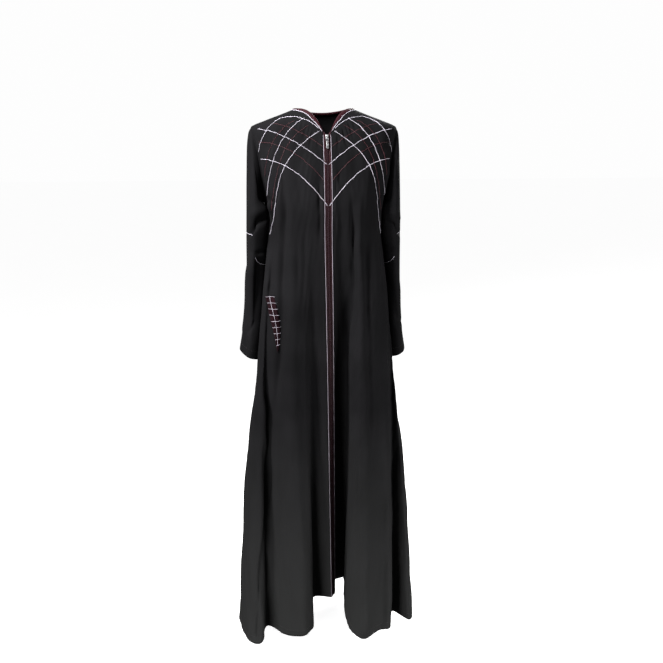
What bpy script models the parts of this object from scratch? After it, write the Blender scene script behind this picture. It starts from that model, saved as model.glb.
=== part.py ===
"""A full-length, front-zipped abaya of black crepe, worn: hollow, with its sleeves hanging beside it.

Metres, +Z up. The front faces -Y and the wearer's left is +X. The origin lies between the two neck
points, where the shoulders carry the garment. Angles go round the body from the centre front, positive
towards the wearer's left. Panels are thin walls through rows of points: a torso, shaped by
BODY_SECTIONS, that opens below the waist into the folds of HEM_FOLDS.
"""

from math import cos, pi, radians, sin

import bpy
import numpy as np
from mathutils import Matrix, Vector
from mathutils.bvhtree import BVHTree

CLOTH = 0.0015  # wall of a panel
SEAM_GAP = 0.0006  # between two pieces that are sewn together
ROUNDNESS = 2.5  # 2 is an ellipse, and more is squarer

# Levels, from the neck points down.
ARMPIT = -0.245
FOLDS_START = -0.290
ZIP_TOP = -0.066

# The half torso at each level: how far it reaches to the side, forward and back, and how deep the
# hollow is in which the sleeve hangs. The first row is above the neck and only leads the shoulder on.
BODY_SECTIONS = (
    # level, half_width, front, back, hollow
    (0.020, 0.025, 0.030, 0.034, 0.000),
    (0.000, 0.075, 0.056, 0.062, 0.000),
    (-0.015, 0.113, 0.067, 0.076, 0.000),
    (-0.030, 0.153, 0.076, 0.087, 0.000),
    (-0.046, 0.190, 0.084, 0.096, 0.000),
    (-0.070, 0.194, 0.093, 0.105, 0.000),
    (-0.130, 0.185, 0.111, 0.117, 0.000),
    (-0.190, 0.171, 0.125, 0.121, 0.000),
    (-0.245, 0.160, 0.131, 0.120, 0.000),
    (-0.332, 0.153, 0.128, 0.118, 0.000),
    (-0.420, 0.170, 0.134, 0.128, 0.018),
    (-0.500, 0.184, 0.140, 0.140, 0.032),
    (-0.650, 0.197, 0.146, 0.158, 0.034),
    (-0.790, 0.206, 0.148, 0.172, 0.018),
    (-0.990, 0.220, 0.150, 0.190, 0.000),
    (-1.190, 0.232, 0.150, 0.205, 0.000),
    (-1.460, 0.245, 0.150, 0.220, 0.000),
)
CHEST_LEVEL = -0.17  # inside the chest, from where the yoke's points are moved onto the torso
CHEST_X_SHARE = 0.55
HOLLOW_Y = 0.040  # the hollow's middle, towards the back
HOLLOW_REACH = 0.125

# Where each crest and valley of the skirt meets the hem, in order round the body. The angle is where
# its line leaves the hip.
ZIP_EDGE_ANGLE = 1.6
HEM_FOLDS = (
    # angle, x, y, level
    (-170.0, -0.050, 0.185, -1.442),  # back valley
    (-152.0, -0.100, 0.238, -1.452),  # back crest
    (-134.0, -0.150, 0.170, -1.440),
    (-117.0, -0.222, 0.165, -1.450),
    (-103.0, -0.222, 0.070, -1.436),
    (-90.0, -0.248, -0.010, -1.442),  # right side
    (-80.0, -0.242, -0.075, -1.448),
    (-72.0, -0.222, -0.132, -1.458),  # first fold
    (-64.0, -0.190, -0.142, -1.460),
    (-57.0, -0.172, -0.078, -1.442),  # valley behind the second fold
    (-44.0, -0.132, -0.110, -1.449),
    (-29.0, -0.082, -0.130, -1.452),  # second fold
    (-19.0, -0.042, -0.098, -1.446),
    (-15.0, -0.037, -0.062, -1.422),  # its edge over the centre panel
    (-10.0, -0.034, -0.020, -1.390),  # valley behind that edge
    (-ZIP_EDGE_ANGLE, 0.016, -0.052, -1.376),  # zip, turned towards the left
    (0.0, 0.0220, -0.0425, -1.374),
    (ZIP_EDGE_ANGLE, 0.0275, -0.0325, -1.372),
    (6.0, 0.038, 0.052, -1.370),  # deep valley beside the zip
    (11.5, 0.066, 0.070, -1.376),
    (17.0, 0.056, -0.010, -1.405),
    (21.5, 0.058, -0.092, -1.446),
    (29.0, 0.096, -0.150, -1.459),  # third fold
    (40.0, 0.146, -0.114, -1.453),
    (56.0, 0.180, -0.112, -1.447),  # fourth fold
    (69.0, 0.195, -0.035, -1.436),
    (81.0, 0.238, -0.082, -1.444),  # fifth fold
    (92.0, 0.257, -0.005, -1.446),  # left side
    (105.0, 0.218, 0.080, -1.436),
    (120.0, 0.215, 0.172, -1.450),
    (136.0, 0.140, 0.168, -1.440),
    (153.0, 0.088, 0.236, -1.451),
    (171.0, 0.030, 0.190, -1.442),
)
FOLD_GROWTH = 1.15  # 1 opens the folds evenly towards the hem, and more opens them later

# The neck opening.
NECK_HALF = 0.075
NECK_V_BOTTOM = -0.058
ZIP_V_DROP = 0.008  # from the fronts' corners down to the zip's top
ZIP_PIPING_TOP = -0.0635
NECK_V_CURVE = 2.8  # 1 is a straight V, and more is steeper at the zip
BACK_NECK_DROP = 0.012

# The armhole: an oval on the side of the torso, from the shoulder's end down to the armpit.
ARMHOLE_TOP = -0.045
ARMHOLE_FRONT = 0.050
ARMHOLE_BACK = 0.056

# The sleeve's rings below the armhole. Each has an outer and an inner point and reaches forward and
# back. The first rings fan out round the armpit, and the rest lie across the hanging sleeve.
SLEEVE_RINGS = (
    # outer_x, outer_level, inner_x, inner_level, front, back
    (0.2000, -0.064, 0.1622, -0.252, -0.056, 0.062),
    (0.2040, -0.115, 0.1640, -0.262, -0.062, 0.070),
    (0.2055, -0.175, 0.1652, -0.275, -0.064, 0.077),
    (0.2065, -0.235, 0.1660, -0.295, -0.064, 0.083),
    (0.2075, -0.295, 0.1665, -0.328, -0.060, 0.088),
    (0.2085, -0.350, 0.1670, -0.368, -0.053, 0.092),
    (0.2105, -0.420, 0.1680, -0.428, -0.043, 0.098),
    (0.2140, -0.490, 0.1700, -0.492, -0.036, 0.102),
    (0.2185, -0.560, 0.1745, -0.567, -0.032, 0.106),
    (0.2245, -0.615, 0.1805, -0.630, -0.030, 0.108),
    (0.2310, -0.657, 0.1865, -0.680, -0.029, 0.108),
)
SLEEVE_ROUNDNESS = 2.2

# Columns and rows of the panels' grids.
FRONT_RIGHT_COLUMNS = 22
FRONT_LEFT_COLUMNS = 26
BACK_HALF_COLUMNS = 14
YOKE_ROWS = 10
SKIRT_ROWS = 12
ROW_CROWDING = 1.2  # 1 spaces the skirt's rows evenly, and more crowds them at the waist
NECK_SHARE = 0.44  # of a half panel's columns that end at the neck, and the rest at the shoulder

# Zip and trims.
ZIP_HALF = 0.0097  # half of the band between the two fronts
PIPING = 0.0024
PIPING_HEIGHT = 0.0010
LIFT = 0.0009  # of a trim over the cloth under it
LAYER = 0.0019  # from one piping to the next where they cross
NECK_BAND = 0.010
NECK_FRONT_POINTS = 14
NECK_BACK_POINTS = 6
SLOPE_STEP = 1e-4  # for reading the torso's outward direction
NECK_TAPER = (0.15, 3.0)  # the neck band's share at the zip, and its gain from there to the neck point

# The piped lattice on the yoke, seen from the front. The first set of lines rises from the zip's teeth
# to the armhole, and the second leaves the neck and falls along the armhole.
RISING_LINES = (
    # name, level at the centre, level at the armhole, reach, curve (1 is straight)
    ("wine_upper", -0.105, -0.038, 0.138, 1.6),
    ("white_upper", -0.143, -0.055, 0.170, 1.65),
    ("wine_middle", -0.195, -0.085, 0.176, 2.1),
    ("white_lower", -0.249, -0.129, 0.170, 2.0),
)
TIP_START = 0.0026  # of a rising line's tip on the zip's band, beside the teeth
FALLING_LINES = (
    # name, layer, then x and level of its start, its two handles and its end
    ("white_outer", 2, 0.0230, -0.053, 0.075, 0.003, 0.160, -0.012, 0.176, -0.112),
    ("wine_outer", 1, 0.0800, -0.030, 0.118, -0.042, 0.156, -0.090, 0.161, -0.172),
    ("white_middle", 1, 0.0560, -0.024, 0.105, -0.045, 0.150, -0.115, 0.156, -0.226),
    ("wine_inner", 1, 0.0460, -0.042, 0.124, -0.082, 0.132, -0.160, 0.146, -0.262),
    ("white_inner", 1, 0.0270, -0.064, 0.158, -0.140, 0.120, -0.225, 0.149, -0.328),
)

RISING_POINTS = 25
FALLING_POINTS = 27

# The pocket's checked welt, seen from the front.
POCKET_WELT = (
    # level, inner_x, outer_x
    (-0.487, -0.1415, -0.1640),
    (-0.520, -0.1340, -0.1575),
    (-0.550, -0.1280, -0.1515),
    (-0.585, -0.1270, -0.1435),
    (-0.615, -0.1290, -0.1385),
    (-0.634, -0.1325, -0.1355),
)

WELT_ROWS = 11
WELT_COLUMNS = 7

# The piping round the elbow, which disappears into a crease at the front. A turn of 0 is the outer
# side and 90 the front.
ELBOW_PIPING = (
    # turn, level
    (90.0, -0.390),
    (108.0, -0.404),
    (126.0, -0.410),
    (180.0, -0.412),
    (234.0, -0.390),
    (288.0, -0.352),
    (342.0, -0.331),
    (378.0, -0.328),
    (432.0, -0.330),
)

# Zip slider and pull tab.
SLIDER_LENGTH = 0.012
SLIDER_WIDTH = 0.008
SLIDER_THICK = 0.0026
BRIDGE_WIDTH = 0.0018
BRIDGE_HOLLOW = 0.0022  # between the slider and its bridge
BRIDGE_THICK = 0.0010
BRIDGE_LENGTH = 0.0080
TAB_WIDTH = 0.0060
TAB_LENGTH = 0.0300
TAB_THICK = 0.0012
HINGE_UP = -0.0018  # of the tab's hinge, from the slider's middle
TAB_EYE = 0.0078  # length of the tab's eye
TAB_EYE_HALF = 0.0014  # half width of the eye
TAB_BAR = 0.0012


def curve_through(table, place):
    """The columns of a table at a place between its rows, on a smooth curve through all the rows."""
    rows = np.array(table, float)
    rows = rows[np.argsort(rows[:, 0])]
    last = len(rows) - 1
    i = int(np.clip(np.searchsorted(rows[:, 0], place) - 1, 0, last - 1))

    def slope(k):
        before, after = rows[max(k - 1, 0)], rows[min(k + 1, last)]
        return (after[1:] - before[1:]) / (after[0] - before[0])

    step = rows[i + 1, 0] - rows[i, 0]
    t = (place - rows[i, 0]) / step
    return (
        rows[i, 1:] * (1 + 2 * t) * (1 - t) ** 2
        + rows[i + 1, 1:] * (3 - 2 * t) * t**2
        + slope(i) * step * t * (1 - t) ** 2
        - slope(i + 1) * step * t**2 * (1 - t)
    )


def hem_point(angle):
    """The x, y and level of the hem at an angle round the body."""
    rows = [(a + turn, *rest) for turn in (-360, 0, 360) for a, *rest in HEM_FOLDS]
    return curve_through(rows, angle)


def torso_depth(x, level, behind):
    """How far the torso reaches forward or back at x."""
    half, front, back, _ = curve_through(BODY_SECTIONS, level)
    share = max(0.0, 1 - min(1.0, abs(x) / half) ** ROUNDNESS) ** (1 / ROUNDNESS)
    return back * share if behind else -front * share


def torso_point(angle, level):
    """A point of the unfolded torso. The zip's edges stay ZIP_HALF from the centre at every level."""
    half, _, _, hollow = curve_through(BODY_SECTIONS, level)
    turn = abs(angle)
    power = 2 / ROUNDNESS
    share = sin(radians(turn)) ** power if turn < 180 else 0.0
    edge = sin(radians(ZIP_EDGE_ANGLE)) ** power
    if turn < ZIP_EDGE_ANGLE:
        x = ZIP_HALF * turn / ZIP_EDGE_ANGLE
    elif turn <= 90:
        x = ZIP_HALF + (half - ZIP_HALF) * (share - edge) / (1 - edge)
    else:
        x = half * share
    y = torso_depth(x, level, turn > 90)
    near = min(1.0, abs(y - HOLLOW_Y) / HOLLOW_REACH)
    x -= hollow * 0.5 * (1 + cos(pi * near)) * (x / half) ** 4
    return Vector((x if angle >= 0 else -x, y, level))


def skirt_point(angle, down):
    """A point of the skirt, with down from 0 at the armpits to 1 at the hem."""
    hem_x, hem_y, hem_level = hem_point(angle)
    level = ARMPIT + (hem_level - ARMPIT) * down
    grown = max(0.0, (FOLDS_START - level) / (FOLDS_START - hem_level)) ** FOLD_GROWTH
    base = torso_point(angle, level)
    hem_base = torso_point(angle, hem_level)
    offset = Vector((hem_x, hem_y, hem_level)) - hem_base
    return base + offset * grown


def skirt_normal(angle, down):
    """The outward direction of the skirt, which two pieces share along their seam."""
    turn, drop = ZIP_EDGE_ANGLE / 2, 0.02
    across = skirt_point(angle + turn, down) - skirt_point(angle - turn, down)
    low, high = min(1.0, down + drop), max(0.0, down - drop)
    return across.cross(skirt_point(angle, high) - skirt_point(angle, low)).normalized()


def skirt_rows_down():
    """How far down the skirt each of its rows lies, from the hem up. The waist has the most rows."""
    return [(1 - j / SKIRT_ROWS) ** ROW_CROWDING for j in range(SKIRT_ROWS + 1)]


def outside(point):
    """Above 0 outside the torso, and below 0 inside."""
    half, front, back, _ = curve_through(BODY_SECTIONS, min(point.z, BODY_SECTIONS[0][0]))
    depth = back if point.y > 0 else front
    return (abs(point.x) / half) ** ROUNDNESS + (abs(point.y) / depth) ** ROUNDNESS - 1


def onto_torso(point):
    """The point moved onto the upper torso, along a line from inside the chest."""
    centre = Vector((CHEST_X_SHARE * point.x, 0, CHEST_LEVEL))
    near, far = 0.3, 1.6  # parts of the way, with the torso's skin between them
    for _ in range(40):
        middle = (near + far) / 2
        if outside(centre.lerp(point, middle)) < 0:
            near = middle
        else:
            far = middle
    return centre.lerp(point, (near + far) / 2)


def armhole_point(side, behind, up):
    """A point of the armhole's edge, with up from 0 at the armpit to 1 at the shoulder's end."""
    middle = (ARMHOLE_TOP + ARMPIT) / 2
    level = middle - (ARMHOLE_TOP - ARMPIT) / 2 * cos(pi * up)
    y = ARMHOLE_BACK * sin(pi * up) if behind else -ARMHOLE_FRONT * sin(pi * up)
    half, front, back, _ = curve_through(BODY_SECTIONS, level)
    share = (1 - (abs(y) / (back if behind else front)) ** ROUNDNESS) ** (1 / ROUNDNESS)
    return Vector((side * half * share, y, level))


def neck_point(side, behind, out):
    """A point of the neck's edge, with out from 0 at the centre to 1 at the neck point."""
    if behind:
        x = NECK_HALF * sin(pi / 2 * out)
        level = -BACK_NECK_DROP * cos(pi / 2 * out) ** 2
    else:
        x = ZIP_HALF + (NECK_HALF - ZIP_HALF) * out
        level = NECK_V_BOTTOM * (1 - out) ** NECK_V_CURVE
    return Vector((side * x, torso_depth(x, level, behind), level))


def shoulder_point(side, out):
    """A point of the shoulder seam, with out from 0 at the neck point to 1 at the shoulder's end."""
    level = ARMHOLE_TOP * out
    half = curve_through(BODY_SECTIONS, level)[0]
    return Vector((side * half, 0, level))


def panel_angles(side, behind, columns):
    """The angles of a half panel's columns, so that the columns are evenly spaced along the hem."""
    fine = 400
    first = 180.0 if behind else ZIP_EDGE_ANGLE
    angles = np.linspace(first, 90.0, fine) * side
    hem = np.array([hem_point(a)[:2] for a in angles])
    walked = np.concatenate([[0], np.cumsum(np.linalg.norm(np.diff(hem, axis=0), axis=1))])
    return np.interp(np.linspace(0, walked[-1], columns + 1), walked, angles)


def half_panel(side, behind, columns):
    """Rows of points from the hem up to the neck and shoulder, each from the centre to the side."""
    angles = panel_angles(side, behind, columns)
    rows = [[skirt_point(a, down) for a in angles] for down in skirt_rows_down()]
    chest = rows[-1]
    walked = np.cumsum([0] + [(b - a).length for a, b in zip(chest, chest[1:])])
    across = walked / walked[-1]
    corner = int(np.argmin(abs(across - NECK_SHARE)))
    top = [neck_point(side, behind, c / across[corner]) for c in across[: corner + 1]]
    top += [
        shoulder_point(side, (c - across[corner]) / (1 - across[corner])) for c in across[corner + 1 :]
    ]
    for j in range(1, YOKE_ROWS):
        up = j / YOKE_ROWS
        inner = chest[0].lerp(top[0], up)
        outer = armhole_point(side, behind, up)
        row = []
        for low, high, u in zip(chest, top, across):
            flat = low.lerp(high, up) + inner.lerp(outer, u)
            flat -= chest[0].lerp(chest[-1], u).lerp(top[0].lerp(top[-1], u), up)
            row.append(onto_torso(flat))
        row[-1] = outer
        rows.append(row)
    rows.append(top)
    return rows


def normals_of(rows, closed=False):
    """The outward direction at each point of a grid whose rows go up and whose columns go leftwards."""
    grid = np.array([[tuple(p) for p in row] for row in rows])
    if closed:
        across = np.roll(grid, -1, axis=1) - np.roll(grid, 1, axis=1)
    else:
        across = np.gradient(grid, axis=1)
    upward = np.gradient(grid, axis=0)
    normal = np.cross(across, upward)
    normal /= np.linalg.norm(normal, axis=2)[:, :, None]
    return [[Vector(n) for n in row] for row in normal]


def wall_faces(rows, columns, closed):
    """Faces of a wall: its outer skin, its inner skin and the rims between them."""
    total = rows * columns
    wrap = columns if closed else columns - 1
    faces = []
    for j in range(rows - 1):
        for i in range(wrap):
            a, b = j * columns + i, j * columns + (i + 1) % columns
            faces.append((a, b, b + columns, a + columns))
            faces.append((a + total, a + columns + total, b + columns + total, b + total))
    for i in range(wrap):
        a, b = i, (i + 1) % columns
        c, d = a + (rows - 1) * columns, b + (rows - 1) * columns
        faces.append((a, a + total, b + total, b))
        faces.append((c, d, d + total, c + total))
    if not closed:
        for j in range(rows - 1):
            a, b = j * columns, (j + 1) * columns
            c, d = a + columns - 1, b + columns - 1
            faces.append((a, b, b + total, a + total))
            faces.append((c, c + total, d + total, d))
    return faces


def add_mesh(name, points, faces, material):
    mesh = bpy.data.meshes.new(name)
    mesh.from_pydata([tuple(p) for p in points], [], faces)
    mesh.shade_smooth()
    mesh.set_sharp_from_angle(angle=radians(50))
    mesh.materials.append(material)
    thing = bpy.data.objects.new(name, mesh)
    bpy.context.scene.collection.objects.link(thing)
    return thing


def add_wall(name, rows, normals, inner, outer, material, closed=False):
    """A wall on a grid of points, from inner to outer metres off the points."""
    skin = [p + n * outer for row, out in zip(rows, normals) for p, n in zip(row, out)]
    lining = [p + n * inner for row, out in zip(rows, normals) for p, n in zip(row, out)]
    faces = wall_faces(len(rows), len(rows[0]), closed)
    return add_mesh(name, skin + lining, faces, material)


class Surface:
    """A grid's outer skin, on which trims find their places."""

    def __init__(self, rows, normals, closed=False):
        self.points = [p for row in rows for p in row]
        self.normals = [n for row in normals for n in row]
        columns = len(rows[0])
        wrap = columns if closed else columns - 1
        self.faces = []
        for j in range(len(rows) - 1):
            for i in range(wrap):
                a, b = j * columns + i, j * columns + (i + 1) % columns
                self.faces += [(a, b, b + columns), (a, b + columns, a + columns)]
        self.tree = BVHTree.FromPolygons(self.points, self.faces)

    def smooth_normal(self, place, face):
        corners = [self.points[k] for k in self.faces[face]]
        whole = (corners[1] - corners[0]).cross(corners[2] - corners[0]).length
        normal = Vector()
        for k in range(3):
            b, c = corners[(k + 1) % 3], corners[(k + 2) % 3]
            share = (b - place).cross(c - place).length / whole
            normal += self.normals[self.faces[face][k]] * share
        return normal.normalized()

    def seen_from_front(self, x, level):
        """The place and the outward direction where a line of sight along +Y meets the cloth."""
        place, _, face, _ = self.tree.ray_cast(Vector((x, -1, level)), Vector((0, 1, 0)))
        return None if place is None else (place, self.smooth_normal(place, face))


def add_ribbon(name, path, width, lift, height, material, closed=False):
    """A flat ribbon along a path of (place, outward direction), lying lift above the cloth."""
    count = len(path)
    rows = []
    for k, (place, normal) in enumerate(path):
        before = path[(k - 1) % count if closed else max(k - 1, 0)][0]
        after = path[(k + 1) % count if closed else min(k + 1, count - 1)][0]
        across = (after - before).cross(normal).normalized() * width / 2
        rows.append((place + across, place - across, normal))
    points = []
    for height_now in (lift + height, lift):
        points += [left + normal * height_now for left, _, normal in rows]
        points += [right + normal * height_now for _, right, normal in rows]
    faces = []
    for k in range(count if closed else count - 1):
        a, b = k, (k + 1) % count
        corners = (0, count, 3 * count, 2 * count)
        for c, d in zip(corners, corners[1:] + corners[:1]):
            faces.append((a + c, b + c, b + d, a + d))
    if not closed:
        faces.append((0, count, 3 * count, 2 * count))
        last = count - 1
        faces.append((last, 2 * count + last, 3 * count + last, count + last))
    return add_mesh(name, points, faces, material)


def make_material(name, colour, roughness, metallic=0.0):
    material = bpy.data.materials.new(name)
    material.use_nodes = True
    shader = material.node_tree.nodes["Principled BSDF"]
    shader.inputs["Base Color"].default_value = (*colour, 1)
    shader.inputs["Roughness"].default_value = roughness
    shader.inputs["Metallic"].default_value = metallic
    return material


def mirrored_name(stem, side):
    return f"{stem}_{'left' if side > 0 else 'right'}"


def beside_zip(rows, side, inset):
    """A path on a front beside its zip edge, inset from it, from the top down."""
    if side < 0:
        rows = [row[::-1] for row in rows]
    path = []
    for j, row in enumerate(rows):
        step = (row[1] - row[0]).normalized()
        upward = rows[min(j + 1, len(rows) - 1)][0] - rows[max(j - 1, 0)][0]
        path.append((row[0] + step * inset, (step.cross(upward) * side).normalized()))
    return path[::-1]


def build_fronts(crepe):
    """Both front panels. Returns their grids and surfaces by side."""
    panels = {}
    for side, columns in ((-1, FRONT_RIGHT_COLUMNS), (1, FRONT_LEFT_COLUMNS)):
        rows = half_panel(side, False, columns)
        if side < 0:
            rows = [row[::-1] for row in rows]
        normals = normals_of(rows)
        for row, down in zip(normals, skirt_rows_down()):
            row[0 if side > 0 else -1] = skirt_normal(side * ZIP_EDGE_ANGLE, down)
        add_wall(mirrored_name("front", side), rows, normals, -CLOTH, 0, crepe)
        panels[side] = (rows, Surface(rows, normals))
    return panels


def build_back(crepe):
    """The back panel, in one piece, a seam's width inside the fronts' edges."""
    left = half_panel(1, True, BACK_HALF_COLUMNS)
    right = half_panel(-1, True, BACK_HALF_COLUMNS)
    rows = [a[::-1] + b[1:] for a, b in zip(left, right)]
    for row in rows:
        row[0] = row[0] + (row[1] - row[0]).normalized() * SEAM_GAP
        row[-1] = row[-1] + (row[-2] - row[-1]).normalized() * SEAM_GAP
    for k, place in enumerate(rows[-1]):
        if abs(place.x) > NECK_HALF:
            rows[-1][k] = place + Vector((0, SEAM_GAP, 0))
    add_wall("back", rows, normals_of(rows), -CLOTH, 0, crepe)


def sleeve_rings(side):
    """Closed rings from the armhole to the cuff, each from the outer side round by the front."""
    steps = 2 * YOKE_ROWS
    first = []
    for k in range(steps):
        turn = k / steps
        behind = turn > 0.5
        up = 1 - 2 * turn if not behind else 2 * turn - 1
        place = armhole_point(side, behind, up)
        first.append(place + Vector((side * 2 * SEAM_GAP, 0, 0)))
    rings = [first]
    for outer_x, outer_level, inner_x, inner_level, front, back in SLEEVE_RINGS:
        outer = Vector((side * outer_x, 0, outer_level))
        inner = Vector((side * inner_x, 0, inner_level))
        ring = []
        for k in range(steps):
            angle = 2 * pi * k / steps
            along = np.sign(cos(angle)) * abs(cos(angle)) ** (2 / SLEEVE_ROUNDNESS)
            forward = np.sign(sin(angle)) * abs(sin(angle)) ** (2 / SLEEVE_ROUNDNESS)
            place = (outer + inner) / 2 + (outer - inner) / 2 * along
            place.y = (front + back) / 2 + (front - back) / 2 * forward
            ring.append(place)
        rings.append(ring)
    return rings


def build_sleeve(side, crepe):
    rings = sleeve_rings(side)[::-1]
    if side > 0:
        rings = [[ring[0]] + ring[:0:-1] for ring in rings]
    normals = normals_of(rings, closed=True)
    add_wall(mirrored_name("sleeve", side), rings, normals, -CLOTH, 0, crepe, closed=True)
    return rings, normals


def sleeve_place(rings, normals, side, turn, level):
    """The place and direction on a sleeve at a turn from its outer side, at about a level."""
    steps = len(rings[0])
    part = (turn % 360) / 360 * steps * -side
    i, mix = int(part // 1) % steps, part % 1
    k = (i + 1) % steps

    def across(grid, j):
        return grid[j][i].lerp(grid[j][k], mix)

    j = next(j for j in range(len(rings) - 1) if across(rings, j + 1).z > level)
    low, high = across(rings, j), across(rings, j + 1)
    up = (level - low.z) / (high.z - low.z)
    normal = across(normals, j).lerp(across(normals, j + 1), up)
    return low.lerp(high, up), normal.normalized()


def build_elbow_piping(side, rings, normals, white):
    step = 360 / len(rings[0])
    turns = np.arange(ELBOW_PIPING[0][0], ELBOW_PIPING[-1][0] + 1, step)
    path = [
        sleeve_place(rings, normals, side, t, curve_through(ELBOW_PIPING, t)[0]) for t in turns
    ]
    add_ribbon(mirrored_name("piping_elbow", side), path, PIPING, LIFT, PIPING_HEIGHT, white)


def build_zip_band(side, wine):
    """One half of the wine band with its half of the zip, from the neck to the hem. Returns its surface."""
    shares = (SEAM_GAP / 2 / ZIP_HALF, 0.5, 1 - SEAM_GAP / ZIP_HALF)
    angles = [side * ZIP_EDGE_ANGLE * share for share in shares][::side]
    rows = [[skirt_point(a, down) for a in angles] for down in skirt_rows_down()]
    for j in range(1, YOKE_ROWS + 1):
        row = []
        for a in angles:
            x = ZIP_HALF * a / ZIP_EDGE_ANGLE
            top = NECK_V_BOTTOM - ZIP_V_DROP * (1 - abs(x) / ZIP_HALF)
            level = ARMPIT + (top - ARMPIT) * j / YOKE_ROWS
            row.append(Vector((x, torso_depth(x, level, False), level)))
        rows.append(row)
    normals = normals_of(rows)
    for row, down in zip(normals, skirt_rows_down()):
        for k, angle in enumerate(angles):
            row[k] = skirt_normal(angle, down)
    add_wall(mirrored_name("zip_band", side), rows, normals, -CLOTH, 0, wine)
    return Surface(rows, normals)


def build_neck_trims(white, wine):
    """The wine band on the neck's edge, narrower towards the zip, and the white piping outside it."""
    outs = [k / NECK_FRONT_POINTS for k in range(NECK_FRONT_POINTS + 1)]
    shares = [min(1.0, NECK_TAPER[0] + NECK_TAPER[1] * out) for out in outs]
    back = [k / NECK_BACK_POINTS for k in range(1, NECK_BACK_POINTS + 1)]
    edge = [(neck_point(-1, False, out), share) for out, share in zip(outs, shares)]
    edge += [(neck_point(-1, True, out), 1.0) for out in [0.0, *back[:-1]][::-1]]
    edge += [(neck_point(1, True, out), 1.0) for out in back[:-1]]
    edge += [(neck_point(1, False, out), share) for out, share in zip(outs, shares)][::-1]

    def direction(place):
        slopes = [
            outside(place + axis * SLOPE_STEP) - outside(place - axis * SLOPE_STEP) for axis in AXES
        ]
        return Vector(slopes).normalized()

    def path_at(distance, beyond=0.0):
        path = []
        for k, (place, share) in enumerate(edge):
            along = edge[min(k + 1, len(edge) - 1)][0] - edge[max(k - 1, 0)][0]
            away = direction(place).cross(along).normalized()
            moved = onto_torso(place + away * (distance * share + beyond))
            path.append((moved, direction(moved)))
        return path

    lines = [path_at(share * NECK_BAND) for share in (0, 0.5, 1)]
    rows = [[place for place, _ in line] for line in lines]
    normals = [[normal for _, normal in line] for line in lines]
    add_wall("neck_band", rows, normals, LIFT, LIFT + PIPING_HEIGHT, wine)
    outer_line = path_at(NECK_BAND, SEAM_GAP + PIPING / 2)
    add_ribbon("piping_neck", outer_line, PIPING, LIFT, PIPING_HEIGHT, white)


def build_zip_pipings(panels, white):
    """The white piping on each front beside the zip, from just under the neck piping to the hem."""
    for side, (rows, _) in panels.items():
        path = beside_zip(rows, side, PIPING / 2 + SEAM_GAP)
        first = next(k for k, (place, _) in enumerate(path) if place.z < ZIP_PIPING_TOP)
        (above, direction), (below, _) = path[first - 1], path[first]
        share = (ZIP_PIPING_TOP - above.z) / (below.z - above.z)
        path[first - 1] = (above.lerp(below, share), direction)
        add_ribbon(
            mirrored_name("piping_zip", side), path[first - 1 :], PIPING, LIFT, PIPING_HEIGHT, white
        )


def handled_curve(handles, count):
    """Points of a curve from its start to its end, drawn towards its two handles."""
    start, first, second, end = (Vector(handles[k : k + 2]) for k in range(0, 8, 2))
    found = []
    for k in range(count):
        t = k / (count - 1)
        place = start * (1 - t) ** 3 + first * 3 * t * (1 - t) ** 2
        found.append(tuple(place + second * 3 * t**2 * (1 - t) + end * t**3))
    return found


def build_lattice(panels, bands, white, wine):
    """The crossing pipings of the yoke. The falling ones lie over the rising ones."""
    beyond_piping = ZIP_HALF + 2 * SEAM_GAP + 1.5 * PIPING
    for side, (_, surface) in panels.items():
        for stem, at_centre, at_armhole, reach, curve in RISING_LINES:

            def risen(x):
                return x, at_armhole + (at_centre - at_armhole) * (1 - x / reach) ** curve

            bend = [risen(x) for x in np.linspace(beyond_piping, reach, RISING_POINTS)]
            lay_piping(f"piping_rise_{stem}", side, surface, bend, 0, white, wine)
            if "white" in stem:
                tip = [risen(x) for x in np.linspace(TIP_START, ZIP_HALF - SEAM_GAP, 3)]
                lay_piping(f"piping_tip_{stem}", side, bands[side], tip, 0, white, wine)
        for stem, layer, *handles in FALLING_LINES:
            bend = handled_curve(handles, FALLING_POINTS)
            lay_piping(f"piping_fall_{stem}", side, surface, bend, layer, white, wine)


def lay_piping(stem, side, surface, bend, layer, white, wine):
    found = [surface.seen_from_front(side * x, level) for x, level in bend]
    path = [hit for hit in found if hit is not None]
    material = wine if "wine" in stem else white
    lift = LIFT + layer * LAYER
    add_ribbon(mirrored_name(stem, side), path, PIPING, lift, PIPING_HEIGHT, material)


def build_pocket(surface, check):
    """The checked welt on the wearer's right front."""
    rows = []
    normals = []
    for level in np.linspace(POCKET_WELT[-1][0], POCKET_WELT[0][0], WELT_ROWS):
        inner_x, outer_x = curve_through(POCKET_WELT, level)
        hits = [surface.seen_from_front(x, level) for x in np.linspace(outer_x, inner_x, WELT_COLUMNS)]
        rows.append([place for place, _ in hits])
        normals.append([normal for _, normal in hits])
    add_wall("pocket_welt_right", rows, normals, LIFT, LIFT + CLOTH, check)


def block(name, low, high, frame, material):
    """A box between two corners of the slider's own frame: across, up the zip and outwards."""
    corners = [(x, u, n) for n in (low[2], high[2]) for u in (low[1], high[1]) for x in (low[0], high[0])]
    faces = [(0, 2, 3, 1), (4, 5, 7, 6), (0, 1, 5, 4), (2, 6, 7, 3), (0, 4, 6, 2), (1, 3, 7, 5)]
    thing = add_mesh(name, [frame @ Vector(c) for c in corners], faces, material)
    return thing


def combine(thing, other, operation):
    """Joins the other solid to this one, or cuts it out, and drops the other."""
    boolean = thing.modifiers.new(operation.title(), "BOOLEAN")
    boolean.operation = operation
    boolean.object = other
    other.hide_render = True
    other.display_type = "WIRE"


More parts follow.
